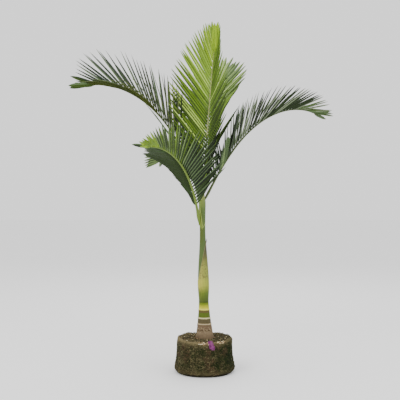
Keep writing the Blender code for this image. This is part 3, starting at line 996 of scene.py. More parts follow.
    def build_petal(self) -> bpy.types.Object:
        """Crumpled fallen petal hanging over the front rim."""
        half_width, drop, slant, start_x = 0.0145, 0.050, 0.016, 0.0305
        deselect()
        bpy.ops.mesh.primitive_grid_add(x_subdivisions=14, y_subdivisions=18, size=1.0,
                                        enter_editmode=True)
        petal = bpy.context.object
        petal.name = "fallen_petal"
        mesh = bmesh.from_edit_mesh(petal.data)
        for corner in mesh.verts:
            u, v = 2.0 * corner.co.x, 0.5 - corner.co.y
            half = half_width * (0.42 + 0.66 * math.sin(math.pi * min(1.0, v * 0.92 + 0.06)))
            half *= 1.0 + 0.20 * math.sin(9.0 * v + 1.0) + 0.10 * math.sin(21.0 * v + 2.0 * u)
            x = start_x + slant * v + u * half
            wall = self.wall_radius(0.17) + 0.006
            edge = -math.sqrt(wall ** 2 - x * x)
            fold = 0.0042 * math.sin(5.0 * u + 2.0 * v) + 0.0034 * math.sin(11.0 * v + 3.0 * u)
            lean = smooth_step((0.35 - v) / 0.35)
            y = edge + 0.014 * lean - 0.004 - fold
            corner.co = (x, y, self.top_z + 0.013 - drop * v + 0.002 * math.sin(6.0 * u))
        bmesh.update_edit_mesh(petal.data)
        bpy.ops.object.mode_set(mode="OBJECT")
        wall = petal.modifiers.new("thickness", "SOLIDIFY")
        wall.thickness = 0.0006
        bpy.ops.object.modifier_apply(modifier=wall.name)
        smooth(petal, 60.0)
        petal.data.materials.append(SpeckFinish("petal_magenta", (124, 58, 110), 0.6).build())
        return petal

    def build(self) -> None:
        """Build and dress the whole ball."""
        hand_over(self.build_body(), ["root_ball"])
        for piece in (self.build_fibres(), self.build_crumbs(), self.build_petal()):
            hand_over(piece, [])


@dataclass
class Trunk:
    """Flared young trunk with raised leaf scars and cracked bark."""

    scars: tuple[float, ...] = (0.274, 0.3085, 0.355)
    scar_rise: float = 0.0013
    scar_half: float = 0.0032
    groove_depth: float = 0.0006
    groove_above: float = 0.0075
    groove_half: float = 0.0040
    foot_z: float = STEM.soil_z + SEAT_GAP
    smooth_from_z: float = 0.27
    flare_top_z: float = 0.262
    sides: int = 96
    rows: int = 110

    def radius(self, z: float) -> float:
        """Radius with the raised scars and the shallow groove above each."""
        r = STEM.trunk_radius(z)
        for scar in self.scars:
            r += self.scar_rise * math.exp(-((z - scar) / self.scar_half) ** 2)
            groove = z - scar - self.groove_above
            r -= self.groove_depth * math.exp(-(groove / self.groove_half) ** 2)
        return r

    def finish(self) -> bpy.types.Material:
        """Bark below, then the green and yellow bands under the lowest sheath."""
        cream, pale = (186, 166, 128), (214, 204, 150)
        cork, pale_cork, rust, scar = (118, 99, 74), (134, 114, 86), (110, 89, 65), (78, 61, 37)
        grey, green, brown = (87, 77, 49), (82, 98, 15), (93, 81, 37)
        ivory, yellow, lime, seam = (231, 223, 96), (200, 196, 42), (114, 130, 8), (45, 58, 8)
        bands = ((0.185, (92, 78, 54)), (0.200, cork), (0.224, pale_cork), (0.236, cork),
                 (0.240, scar), (0.244, rust), (0.266, rust), (0.2705, (100, 83, 60)),
                 (0.2727, cream), (0.2768, cream), (0.2795, grey), (0.3035, grey),
                 (0.3062, pale), (0.3108, pale), (0.3135, green), (0.3385, green),
                 (0.3415, brown), (0.3515, brown), (0.3545, (150, 140, 66)), (0.3565, ivory),
                 (0.366, yellow), (0.389, lime), (0.398, (92, 109, 8)), (0.4005, seam))
        return BandedFinish("palm_bark", bands, wander=0.0007, grain=(300.0, 300.0, 460.0),
                            contrast=0.42, roughness=0.8, depth=0.0016,
                            fleck=(168, 150, 116), fleck_zone=(0.228, 0.252)).build()

    def bark_share(self, point: Vector) -> float:
        """Share of the fine relief: rough below, smooth at the green top."""
        smoother = smooth_step((point.z - self.smooth_from_z) / 0.05)
        return smooth_step((point.z - self.foot_z) / 0.004) * blend(1.0, 0.12, smoother)

    def foot_share(self, point: Vector) -> float:
        """Share of the coarse relief at the flared foot."""
        fading = smooth_step((self.flare_top_z - point.z) / 0.03)
        return smooth_step((point.z - self.foot_z) / 0.004) * fading

    def build(self) -> None:
        """Build and dress the trunk."""
        top_z = STEM.trunk_top_z
        heights = [blend(self.foot_z, top_z, i / self.rows) for i in range(self.rows + 1)]
        bark = loft("trunk_bark", [STEM.ring(self.radius(z), z, self.sides) for z in heights])
        for size, strength, share in ((0.013, 0.0042, self.foot_share),
                                      (0.006, 0.0030, self.bark_share),
                                      (0.003, 0.0014, self.bark_share)):
            roughen(bark, size, strength, share)
        smooth(bark, 50.0)
        bark.data.materials.append(self.finish())
        hand_over(bark, ["trunk"])


@dataclass
class Sheaths:
    """Old outer sheath, the crownshaft that rises out of it, and the pale sheath margins."""

    lip: float = 0.0014
    edge_high: tuple[float, float] = (0.0118, 0.763)
    edge_low: tuple[float, float] = (-0.0290, 0.567)
    old_top_z: float = 0.80
    new_foot_z: float = 0.52
    cap_height: float = 0.012
    sides: int = 72

    def edge(self) -> tuple[Vector, Vector]:
        """Point on the slanting free edge of the old sheath, and the direction across it."""
        high = Vector((self.edge_high[0], 0.0, self.edge_high[1]))
        low = Vector((self.edge_low[0], 0.0, self.edge_low[1]))
        along = (high - low).normalized()
        return high, Vector((-along.z, 0.0, along.x))

    def cut(self, obj: bpy.types.Object, shift: float, keep_below: bool) -> None:
        """Cut a form along the slanting edge and close it.

        Args:
            obj: the form.
            shift: distance of the cut from the edge.
            keep_below: keep what lies below the cut, and otherwise what lies above.
        """
        point, across = self.edge()
        take_hold(obj)
        bpy.ops.object.mode_set(mode="EDIT")
        bpy.ops.mesh.select_all(action="SELECT")
        bpy.ops.mesh.bisect(plane_co=point + across * shift, plane_no=across, use_fill=True,
                            clear_outer=keep_below, clear_inner=not keep_below)
        bpy.ops.object.mode_set(mode="OBJECT")

    def old_finish(self) -> bpy.types.Material:
        """Yellow olive sheath, green at its foot and brown at its free tip, with painted
        blue-green shade on its right side.
        """
        seam, green, straw = (45, 57, 8), (98, 114, 18), (174, 172, 62)
        olive, brown = (155, 153, 66), (80, 70, 48)
        bands = ((0.401, seam), (0.404, (72, 86, 8)), (0.455, green), (0.495, straw),
                 (0.522, straw), (0.545, olive), (0.605, olive), (0.655, (108, 103, 50)),
                 (0.705, brown), (0.763, brown))
        return BandedFinish("old_sheath_skin", bands, wander=0.008, grain=(210.0, 210.0, 15.0),
                            contrast=0.40, roughness=0.55, depth=0.0006,
                            shade_tint=(222, 236, 222), shade_share=1.0,
                            shade_blending=Blending.MULTIPLY,
                            fleck=(84, 74, 36), fleck_zone=(0.545, 0.620)).build()

    def new_finish(self) -> bpy.types.Material:
        """Green crownshaft, paler at the neck, with painted bluish shade on its right side."""
        green, deep, neck = (76, 95, 39), (74, 88, 11), (90, 106, 28)
        bands = ((0.520, green), (0.710, green), (0.781, deep), (0.816, deep), (0.842, neck),
                 (0.880, (81, 98, 27)), (0.920, (84, 103, 37)), (0.985, (119, 140, 58)))
        return BandedFinish("crownshaft_skin", bands, wander=0.010, grain=(460.0, 460.0, 16.0),
                            contrast=0.22, roughness=0.45, depth=0.0005,
                            shade_tint=(68, 88, 44), shade_share=0.9).build()

    def build_old_sheath(self) -> None:
        """Old sheath, swollen at its foot and cut along the slanting edge."""
        foot, rows = STEM.trunk_top_z + SEAT_GAP, 80
        rings = []
        for i in range(rows + 1):
            z = blend(foot, self.old_top_z, i / rows)
            swell = self.lip * smooth_step((z - foot) / 0.1)
            swell += 0.0006 * math.exp(-((z - foot - 0.003) / 0.0025) ** 2)
            rings.append(STEM.ring(STEM.shaft_radius(z) + swell, z, self.sides))
        sheath = loft("old_sheath_skin", rings)
        self.cut(sheath, 0.0, True)
        smooth(sheath)
        sheath.data.materials.append(self.old_finish())
        hand_over(sheath, ["old_sheath"])

    def build_crownshaft(self) -> None:
        """Crownshaft above the old sheath's edge, closed by a low cap."""
        rows = 90
        heights = [blend(self.new_foot_z, STEM.top_z, i / rows) for i in range(rows + 1)]
        rings = [STEM.ring(STEM.shaft_radius(z), z, self.sides) for z in heights]
        for share in (0.85, 0.5, 0.2):
            z = STEM.top_z + self.cap_height * (1.0 - share)
            rings.append(STEM.ring(STEM.top_r * share, z, self.sides))
        shaft = loft("crownshaft_skin", rings)
        self.cut(shaft, SEAT_GAP, False)
        smooth(shaft)
        shaft.data.materials.append(self.new_finish())
        hand_over(shaft, ["crownshaft"])

    def margin(self, start: tuple[float, float], end: tuple[float, float]) -> list[Vector]:
        """Line of a sheath's margin over the shaft.

        Args:
            start: compass in degrees and height where it begins.
            end: compass and height where it ends.

        Returns:
            Points of the line.
        """
        line = []
        for i in range(MARGIN_STEPS + 1):
            t = i / MARGIN_STEPS
            z = blend(start[1], end[1], t ** 0.9)
            line.append(STEM.on_shaft(blend(start[0], end[0], t), z, 0.0002))
        return line

    def rim(self) -> list[Vector]:
        """Closed line of the old sheath's free edge, where the slanting cut meets its skin."""
        point, across = self.edge()
        line = []
        for k in range(self.sides):
            compass = 360.0 * k / self.sides
            a = math.radians(compass)
            z = 0.66
            for _ in range(12):
                x = STEM.axis_x(z) + (STEM.shaft_radius(z) + self.lip) * math.cos(a)
                z = point.z - (x - point.x) * across.x / across.z
            line.append(STEM.on_shaft(compass, z, self.lip - 0.0003))
        return line + line[:1]

    def build_margins(self) -> None:
        """Pale thin margins of the sheaths, the old sheath's rim and its dry stub."""
        heap = Heap()
        radii = [0.0013 * math.sin(math.pi * (0.12 + 0.76 * i / MARGIN_STEPS))
                 for i in range(MARGIN_STEPS + 1)]
        for start, end in (((272.0, 0.826), (233.0, 0.938)), ((272.0, 0.826), (352.0, 0.866)),
                           ((236.0, 0.962), (330.0, 0.984)), ((228.0, 0.950), (244.0, 0.900))):
            heap.tube(self.margin(start, end), radii, 6, 0)
        rim = self.rim()
        heap.tube(rim, [0.0009] * len(rim), 5, 1)
        stub = [Vector((0.0085, -0.0015, 0.735)), Vector((0.0105, -0.0018, 0.750)),
                Vector((0.0124, -0.0018, 0.760)), Vector((0.0136, -0.0015, 0.766))]
        heap.tube(stub, [0.0016, 0.0024, 0.0020, 0.0008], 6, 2)
        finishes = [SpeckFinish("sheath_margin", (172, 188, 104), 0.5).build(),
                    SpeckFinish("sheath_rim", (146, 142, 98), 0.7).build(),
                    SpeckFinish("sheath_stub", (76, 60, 56), 0.8).build()]
        margins = heap.to_object("sheath_margins", finishes)
        smooth(margins, 70.0)
        hand_over(margins, [])

    def wrap(self, name: str, low: float, high: float, thick: float,
             edges: Callable[[float], tuple[float, float]]) -> bpy.types.Object:
        """Thin leaf that lies round a part of the shaft.

        Args:
            name: name of the piece.
            low: height of its lower end.
            high: height of its upper end.
            thick: its thickness in the middle.
            edges: compass of its two edges in degrees, by the share of its height.

        Returns:
            The closed leaf.
        """
        rows, columns, sunk = 28, 14, -0.0006
        rings = []
        for i in range(rows + 1):
            t = i / rows
            far, near = edges(t)
            ends = min(1.0, 0.15 + 5.0 * t) * min(1.0, 0.2 + 5.0 * (1.0 - t))
            outer, inner = [], []
            for k in range(columns + 1):
                u = k / columns
                swell = thick * ends * math.sin(math.pi * (0.06 + 0.88 * u)) ** 0.6
                compass, z = blend(far, near, u), blend(low, high, t)
                outer.append(STEM.on_shaft(compass, z, SEAT_GAP + swell))
                inner.append(STEM.on_shaft(compass, z, sunk))
            rings.append(outer + inner[::-1])
        leaf = loft(name, rings)
        smooth(leaf, 40.0)
        return leaf

    def build_leaf_base(self) -> None:
        """Thin base of the outer frond, wrapped round the left of the crownshaft."""
        base = self.wrap("outer_leaf_base", 0.818, 0.946, 0.0020,
                         lambda t: (blend(262.0, 120.0, smooth_step(t * 3.0)),
                                    blend(270.0, 236.0, min(1.0, 1.085 * t) ** 0.9)))
        bands = ((0.815, (104, 122, 40)), (0.860, (112, 128, 44)), (0.946, (124, 140, 58)))
        # Painted shade darkens the right side of the leaf base.
        base.data.materials.append(
            BandedFinish("outer_leaf_base_skin", bands, wander=0.004, grain=(460.0, 460.0, 20.0),
                         contrast=0.2, roughness=0.45, depth=0.0004,
                         shade_tint=(96, 112, 40), shade_share=0.4).build())
        hand_over(base, [])

    def build_tip(self) -> None:
        """Pale pointed tip of the innermost sheath, in front of the stalks."""
        tip = self.wrap("sheath_tip", 0.948, 1.045, 0.0012,
                        lambda t: (blend(226.0, 292.0, t), blend(356.0, 298.0, t)))
        bands = ((0.950, (106, 124, 50)), (0.985, (124, 138, 62)), (1.015, (150, 158, 92)),
                 (1.045, (188, 190, 140)))
        # Painted shade darkens the right side of the tip.
        tip.data.materials.append(
            BandedFinish("sheath_tip_skin", bands, wander=0.003, grain=(460.0, 460.0, 30.0),
                         contrast=0.15, roughness=0.5, depth=0.0003,
                         shade_tint=(68, 88, 44), shade_share=0.7).build())
        hand_over(tip, [])

    def build(self) -> None:
        """Build and dress the sheaths."""
        self.build_old_sheath()
        self.build_crownshaft()
        self.build_margins()
        self.build_leaf_base()
        self.build_tip()


# Fronds


def crown_foot(compass: float) -> Vector:
    """Foot of a frond on the top of the crownshaft, by its direction in degrees."""
    a = math.radians(compass)
    x = STEM.axis_x(STEM.top_z) + CROWN_R * math.cos(a)
    return Vector((x, CROWN_R * math.sin(a), STEM.top_z + SEAT_GAP))


def side_foot() -> Vector:
    """Foot of the outer frond, close against the side of the crownshaft."""
    return STEM.on_shaft(compass=208.3, z=0.857, lift=0.0042)


Steps = tuple[tuple[float, LeafTone, LeafTone], ...]


class Side(IntEnum):
    """Row of a frond, seen from its foot with its upper side up."""

    RIGHT = 1
    LEFT = -1


@dataclass(frozen=True)
class Lay:
    """How the outer leaflets of a row lie down along the stalk, from a share of the blade on.

    A hug of 1 lets them follow the bend of the stalk, and 0 leaves them straight. A negative
    span turns it round: the lay then holds from the foot up to the start, with its own angle.
    """

    start: float = 2.0
    span: float = 0.22
    vee: float = 0.0
    angle: float = 10.0
    tilt: float = 0.0
    width: float = 1.0
    hug: float = 0.0
    reach: float = 1.0


@dataclass(frozen=True)
class Row:
    """One row of leaflets: spread, width and tilt, and the tones of its lit and shaded halves."""

    vee: float
    width: float
    tilt: float
    tones: Steps
    lay: Lay = Lay()
    # A spark gives the lit half of some leaflets another tone, most often a pale one that is a
    # painted highlight.
    spark: LeafTone | None = None
    spark_share: float = 0.0
    fold: float = 22.0
    base: float = 0.55
    widest: float = 0.20
    taper: float = 2.0
    scale: float = 1.0
    foot_width: float = 1.0
    end_scale: float = 1.0
    scale_from: float = 0.55

    def pair(self, blade: float) -> tuple[LeafTone, LeafTone]:
        """Tones of the lit and the shaded half at a share of the blade.

        Args:
            blade: share of the blade from its foot.

        Returns:
            The two tones.
        """
        for limit, lit, shaded in self.tones:
            if blade <= limit:
                return lit, shaded
        return self.tones[-1][1:]


@dataclass(frozen=True)
class Leaflet:
    """One folded leaflet: length and width in metres, its angles in degrees, and its tones."""

    length: float
    width: float
    angle: float
    vee: float
    tilt: float
    tones: tuple[LeafTone, LeafTone]
    fold: float = 22.0
    base: float = 0.55
    widest: float = 0.20
    taper: float = 2.0
    blunt: float = 0.0
    sag: float = 0.035
    hug: float = 0.0


@dataclass(frozen=True)
class Accent:
    """A leaflet with its own shape, in place of the one nearest to a share of the blade.

    An extra one grows beside that leaflet and leaves it where it is.
    """

    blade: float
    side: Side
    leaflet: Leaflet
    extra: bool = False


def accents(plans: tuple[tuple[float, Side, float, float, float, LeafTone, LeafTone], ...],
            vee: float, tilt: float, extra: bool = False, **more: float) -> tuple[Accent, ...]:
    """Leaflets with their own shape that share a spread and a tilt.

    Args:
        plans: share of the blade, row, length, width, angle and the two tones of each.
        vee: their spread above the blade in degrees.
        tilt: their tilt in degrees.
        extra: whether they grow beside the ordinary leaflets.
        more: other sizes of a leaflet that they share.

    Returns:
        The accents in the order of their plans.
    """
    return tuple(
        Accent(blade, side, Leaflet(length, width, angle, vee, tilt, (lit, shaded), **more), extra)
        for blade, side, length, width, angle, lit, shaded in plans)


@dataclass(frozen=True)
class Stray:
    """Stretch of a left row whose leaflets hang loose below the stalk."""

    start: float
    end: float
    vee: float
    angle: float
    width: float = 0.8
    tones: tuple[LeafTone, LeafTone] = (LeafTone.MIST, LeafTone.GREY)


@dataclass(frozen=True)
class Chance:
    """How far one leaflet differs from the next, as spreads about its plan."""

    tone: float = 0.05
    length: float = 0.012
    width: float = 0.1
    angle: float = 0.9
    vee: float = 1.6
    tilt: float = 3.0
    sag: float = 0.4
    curl: float = 0.012
    twist: float = 7.0


@dataclass(frozen=True)
class FrondShape:
    """Bend of a frond's stalk and spread of its leaflets, in degrees and metres."""

    name: str
    nodes: tuple[str, ...]
    slot: str
    foot: Vector
    heading: float
    rise: float
    bow: float
    bow_power: float
    length: float
    petiole: float
    pairs: int
    leaf: float
    angle_foot: float
    angle_tip: float
    right_row: Row
    left_row: Row
    stalk_tones: tuple[LeafTone, LeafTone]
    sweep: float = 0.0
    roll_foot: float = 0.0
    roll_tip: float = 0.0
    roll_turn: float = 1.0
    foot_share: float = 0.55
    foot_left: float | None = None
    ramp: float = 0.20
    end_share: float = 0.30
    fall: float = 4.5
    turn: float = 1.0
    foot_half: float = 0.0066
    girth: float = 1.0
    low_tone: tuple[float, LeafTone] | None = None
    opposite: bool = False
    left_scale: float = 1.0
    tip_width: float = 1.5
    stray: Stray | None = None
    accents: tuple[Accent, ...] = ()
    chance: Chance = Chance()
    seed: int = 1


@dataclass(frozen=True)
class Station:
    """One place along a stalk, with its frame and its shares of the stalk and the blade."""

    place: Vector
    ahead: Vector
    right: Vector
    above: Vector
    share: float
    blade: float


class Frond:
    """One frond: a channelled stalk and two rows of folded leaflets."""

    SECTION = ((1.0, 0.10), (0.80, 0.62), (0.42, 0.82), (0.0, 0.62), (-0.42, 0.82),
               (-0.80, 0.62), (-1.0, 0.10), (-0.82, -0.55), (-0.40, -0.90), (0.0, -1.0),
               (0.40, -0.90), (0.82, -0.55))
    STEP = 0.026
    SUNK = 0.012
    # Half heights of the stalk, and the share of the petiole in which its foot swells.
    FOOT_TIP_HALF = 0.0030
    BLADE_HALF = 0.0047
    END_HALF = 0.0019
    SWELL_SPAN = 0.35
    # Where a leaflet sits on its stalk, in half heights, and the half height of its own rib.
    SEAT_OUT = 0.62
    SEAT_UP = 0.40
    RIB_HALF = 0.0011
    RIB_END_HALF = 0.0003
    # Fold of a leaflet's foot in degrees, and the share of its length in which it opens.
    FOOT_FOLD = 50.0
    OPEN_SPAN = 0.10
    # Shares of the blade: where leaflets reach full scale and width, widen to the tip and spark.
    SCALE_FROM = 0.12
    SCALE_SPAN = 0.2
    WIDTH_SPAN = 0.3
    TIP_FROM = 0.86
    SPARK_FROM = 0.2
    # Share of its width that a short leaflet keeps, and how fast that grows with its length.
    LEAST_WIDTH = 0.45
    WIDTH_GAIN = 2.2

    def __init__(self, shape: FrondShape, finishes: dict[LeafTone, bpy.types.Material]) -> None:
        """Take the shape and start the frond's own seeded chance.

        Args:
            shape: the frond's sizes and tones.
            finishes: the material of each tone.
        """
        self.shape = shape
        self.finishes = finishes
        self.rng = random.Random(shape.seed)
        self.steps = max(3, round(shape.petiole / self.STEP))
        self.line = self.stations()
        self.tones: list[LeafTone] = []

    def frame_at(self, share: float) -> tuple[Vector, Vector, Vector]:
        """Direction, right side and upper side of the stalk.

        Args:
            share: share of the stalk's length.

        Returns:
            The three unit directions.
        """
        shape = self.shape
        rise = math.radians(shape.rise - shape.bow * share ** shape.bow_power)
        compass = math.radians(shape.heading + shape.sweep * share)
        ahead = Vector((math.cos(rise) * math.cos(compass), math.cos(rise) * math.sin(compass),
                        math.sin(rise)))
        side = Vector((math.sin(compass), -math.cos(compass), 0.0))
        up = side.cross(ahead)
        roll = math.radians(blend(shape.roll_foot, shape.roll_tip, share ** shape.roll_turn))
        right = side * math.cos(roll) + up * math.sin(roll)
        return ahead, right, up * math.cos(roll) - side * math.sin(roll)

    def stations(self) -> list[Station]:
        """Places along the stalk: first those of the petiole, then two for each pair."""
        shape = self.shape
        blade_steps = 2 * shape.pairs
        lengths = [shape.petiole / self.steps] * self.steps
        lengths += [(shape.length - shape.petiole) / blade_steps] * blade_steps
        place = shape.foot.copy()
        run = 0.0
        line = []
        for i in range(len(lengths) + 1):
            ahead, right, above = self.frame_at(run / shape.length)
            blade = (run - shape.petiole) / (shape.length - shape.petiole)
            line.append(Station(place.copy(), ahead, right, above, run / shape.length, blade))
            if i < len(lengths):
                halfway = (run + 0.5 * lengths[i]) / shape.length
                place += self.frame_at(halfway)[0] * lengths[i]
                run += lengths[i]
        return line

    def half(self, share: float) -> float:
        """Half height of the stalk at a share of its length."""
        shape = self.shape
        limit = shape.petiole / shape.length
        if share < limit:
            swelling = smooth_step(share / (self.SWELL_SPAN * limit))
            foot = blend(self.FOOT_TIP_HALF, shape.foot_half, swelling)
            return shape.girth * blend(foot, self.BLADE_HALF, smooth_step(share / limit))
        return shape.girth * blend(self.BLADE_HALF, self.END_HALF, (share - limit) / (1.0 - limit))

    def stalk_ring(self, station: Station) -> list[Vector]:
        """Section of the stalk: round below, with a shallow channel above."""
        h = self.half(station.share)
        return [station.place + station.right * (h * u) + station.above * (h * v)
                for u, v in self.SECTION]

    def build_stalk(self) -> bpy.types.Object:
        """Channelled stalk from its foot in the sheath to its tip."""
        first = self.line[0]
        sunk = replace(first, place=first.place - first.ahead * self.SUNK)
        stalk = loft(self.shape.name + "_stalk",
                     [self.stalk_ring(station) for station in [sunk] + self.line])
        smooth(stalk, 50.0)
        low_z, low_tones = -1.0, ()
        if self.shape.low_tone is not None:
            low_z, low_tones = self.shape.low_tone[0], self.shape.low_tone[1:]
        for tone in self.shape.stalk_tones + low_tones:
            stalk.data.materials.append(self.finishes[tone])
        above = self.line[len(self.line) // 2].above
        for face in stalk.data.polygons:
            face.material_index = 0 if face.normal.dot(above) < 0.1 else 1
            if face.center.z < low_z:
                face.material_index = 2
        return stalk

    def leaf_length(self, blade: float, side: Side) -> float:
        """Length of a leaflet.

        Args:
            blade: share of the blade from its foot.
            side: its row.

        Returns:
            The length.
        """
        shape = self.shape
        own_foot = side == Side.LEFT and shape.foot_left is not None
        foot = shape.foot_left if own_foot else shape.foot_share
        grow = foot + (1.0 - foot) * min(1.0, blade / shape.ramp)
        fade = 1.0 - (1.0 - shape.end_share) * blade ** shape.fall
        return shape.leaf * grow * fade * (shape.left_scale if side == Side.LEFT else 1.0)

    def tone_number(self, tone: LeafTone) -> int:
        """Number of a tone among the frond's own finishes."""
        if tone not in self.tones:
            self.tones.append(tone)
        return self.tones.index(tone)

    def plan_leaflet(self, station: Station, side: Side) -> Leaflet:
        """Shape of an ordinary leaflet.

        Args:
            station: where it grows from.
            side: its row.

        Returns:
            Its shape.
        """
        shape, chance, rng, blade = self.shape, self.shape.chance, self.rng, station.blade
        row = shape.right_row if side == Side.RIGHT else shape.left_row
        lay = smooth_step((blade - row.lay.start) / row.lay.span)
        angle = blend(shape.angle_foot, shape.angle_tip, blade ** shape.turn)
        lain = row.lay.angle if row.lay.span < 0.0 else min(angle, row.lay.angle)
        angle, vee = blend(angle, lain, lay), blend(row.vee, row.lay.vee, lay)
        shorter = smooth_step((blade - row.scale_from) / (1.0 - row.scale_from))
        length = self.leaf_length(blade, side) * blend(1.0, row.end_scale, shorter)
        grown = smooth_step((blade - self.SCALE_FROM) / self.SCALE_SPAN)
        length *= blend(1.0, row.scale, grown) * blend(1.0, row.lay.reach, lay)
        near_tip = smooth_step((blade - self.TIP_FROM) / (1.0 - self.TIP_FROM))
        wide = row.width * blend(1.0, shape.tip_width, near_tip)
        wide *= blend(1.0, row.lay.width, lay)
        wide *= min(1.0, self.LEAST_WIDTH + self.WIDTH_GAIN * length)
        wide *= blend(row.foot_width, 1.0, smooth_step(blade / self.WIDTH_SPAN))
        tones = row.pair(min(1.0, max(0.0, blade + rng.gauss(0.0, chance.tone))))
        # Sparks: the lit half of some leaflets takes the row's spark tone, most often a painted
        # highlight.
        sparks = rng.random() < row.spark_share and blade > self.SPARK_FROM
        if sparks and row.spark is not None:
            tones = (row.spark, tones[1])
        stray = shape.stray
        if stray is not None and side == Side.LEFT and stray.start < blade < stray.end:
            vee, angle, tones, wide = stray.vee, stray.angle, stray.tones, stray.width * wide
        return Leaflet(length * (1.0 + rng.gauss(0.0, chance.length)),
                       wide * rng.uniform(1.0 - chance.width, 1.0 + chance.width),
                       angle + rng.gauss(0.0, chance.angle), vee + rng.gauss(0.0, chance.vee),
                       blend(row.tilt, row.lay.tilt, lay) + rng.gauss(0.0, chance.tilt), tones,
                       row.fold, row.base, row.widest, row.taper,
                       sag=Leaflet.sag * rng.uniform(1.0 - chance.sag, 1.0 + chance.sag),
                       hug=row.lay.hug * lay)

    def along(self, share: float) -> Vector:
        """Point on the stalk's line, carried straight on past its end.

        Args:
            share: share of the stalk's length.

        Returns:
            The point.
        """
        last = self.line[-1]
        if share >= 1.0:
            return last.place + last.ahead * ((share - 1.0) * self.shape.length)
        i = max(k for k, station in enumerate(self.line) if station.share <= share)
        here, following = self.line[i], self.line[i + 1]
        t = (share - here.share) / (following.share - here.share)
        return here.place.lerp(following.place, t)

    def midline(self, station: Station, side: Side, leaf: Leaflet, direction: Vector,
                out: Vector) -> list[Vector]:
        """Rib of a leaflet from its root to its tip.

        Args:
            station: where it grows from.
            side: its row.
            leaf: its shape.
            direction: the way it points at its root.
            out: the way out from the stalk.

        Returns:
            A point of the rib for each leaf station.
        """
        angle = math.radians(leaf.angle)
        h = self.half(station.share)
        root = station.place + station.right * (side * self.SEAT_OUT * h)
        root += station.above * (self.SEAT_UP * h)
        curl = self.rng.gauss(0.0, self.shape.chance.curl)
        line = []
        for s in LEAF_STATIONS:
            centre = root + direction * (leaf.length * s)
            centre += station.ahead * (curl * leaf.length * s * s)
            if leaf.hug > 0.0:
                ahead = leaf.length * s * math.cos(angle)
                follow = root + self.along(station.share + ahead / self.shape.length)
                follow += out * (leaf.length * s * math.sin(angle)) - station.place
                centre = centre.lerp(follow, leaf.hug)
            centre.z -= leaf.sag * leaf.length * s * s
            line.append(centre)
        return line

    def add_leaflet(self, heap: Heap, station: Station, side: Side, leaf: Leaflet) -> None:
        """Add one folded leaflet.

        Args:
            heap: where it goes.
            station: where it grows from.
            side: its row.
            leaf: its shape.
        """
        angle, vee = math.radians(leaf.angle), math.radians(leaf.vee)
        out = station.right * side * math.cos(vee) + station.above * math.sin(vee)
        direction = (station.ahead * math.cos(angle) + out * math.sin(angle)).normalized()
        breadth = (station.ahead - direction * station.ahead.dot(direction)).normalized()
        face = direction.cross(breadth)
        if face.dot(station.above) < 0.0:
            face = -face
        line = self.midline(station, side, leaf, direction, out)
        twist = math.radians(self.rng.gauss(0.0, self.shape.chance.twist))
        points, sheet = [], []
        for centre, s in zip(line, LEAF_STATIONS):
            tilt = math.radians(leaf.tilt) + twist * s
            across = breadth * math.cos(tilt) - face * math.sin(tilt)
            over = direction.cross(across)
            if over.dot(face) < 0.0:
                over = -over
            taper = 1.0 - max(0.0, (s - leaf.widest) / (1.0 - leaf.widest)) ** leaf.taper
            taper = blend(taper, 1.0, leaf.blunt)
            w = 0.5 * leaf.width * blend(leaf.base, 1.0, smooth_step(s / leaf.widest)) * taper
            opened = smooth_step(s / self.OPEN_SPAN)
            fold = math.radians(blend(self.FOOT_FOLD, leaf.fold, opened))
            thick = blend(self.RIB_HALF, self.RIB_END_HALF, s)
            flat, low = w * math.cos(fold), w * math.sin(fold)
            points += [centre - across * flat - over * low, centre + over * thick,
                       centre + across * flat - over * low, centre - over * thick]
            sheet += [(0.0, s), (0.5, s), (1.0, s), (0.5, s)]
        last, before = LEAF_STATIONS[-1], LEAF_STATIONS[-2]
        points.append(line[-1] + (line[-1] - line[-2]) * ((1.0 - last) / (last - before)))
        sheet.append((0.5, 1.0))
        faces, finishes = self.leaflet_faces(leaf)
        heap.add(points, faces, finishes, sheet)

    def leaflet_faces(self, leaf: Leaflet) -> tuple[list[tuple[int, ...]], list[int]]:
        """Faces of a leaflet, four round each stretch of its rib and four at its tip.

        Args:
            leaf: its shape.

        Returns:
            The faces and the number of each one's finish.
        """
        lit, shaded = (self.tone_number(tone) for tone in leaf.tones)
        sides = (shaded, lit, lit, shaded)
        faces, finishes = [(3, 2, 1, 0)], [shaded]
        rows = len(LEAF_STATIONS)
        for i in range(rows - 1):
            for k in range(4):
                n = (k + 1) % 4
                faces.append((4 * i + k, 4 * i + n, 4 * i + 4 + n, 4 * i + 4 + k))
                finishes.append(sides[k])
        end = 4 * (rows - 1)
        for k in range(4):
            faces.append((end + k, end + (k + 1) % 4, 4 * rows))
            finishes.append(sides[k])
        return faces, finishes

    def seats(self) -> list[tuple[int, Side]]:
        """Stations that carry a leaflet, and in which row."""
        found = []
        for i in range(self.steps, len(self.line) - 1):
            even = (i - self.steps) % 2 == 0
            if self.shape.opposite and even:
                found += [(i, Side.RIGHT), (i, Side.LEFT)]
            elif not self.shape.opposite:
                found.append((i, Side.RIGHT if even else Side.LEFT))
        return found

    def build(self) -> None:
        """Build and dress the stalk and the leaflets."""
        nodes = list(self.shape.nodes)
        hand_over(self.build_stalk(), nodes)
        heap = Heap()
        seats = self.seats()
        own = {}
        for accent in self.shape.accents:
            near = min((seat for seat in seats if seat[1] == accent.side),
                       key=lambda seat: abs(self.line[seat[0]].blade - accent.blade))
            if accent.extra:
                self.add_leaflet(heap, self.line[near[0]], accent.side, accent.leaflet)
            else:
                own[near] = accent.leaflet
        for seat in seats:
            station, side = self.line[seat[0]], seat[1]
            plain = self.plan_leaflet(station, side)
            self.add_leaflet(heap, station, side, own.get(seat, plain))
        leaflets = heap.to_object(self.shape.name + "_leaflets",
                                  [self.finishes[tone] for tone in self.tones])
        smooth(leaflets, 36.0)
        hand_over(leaflets, nodes)


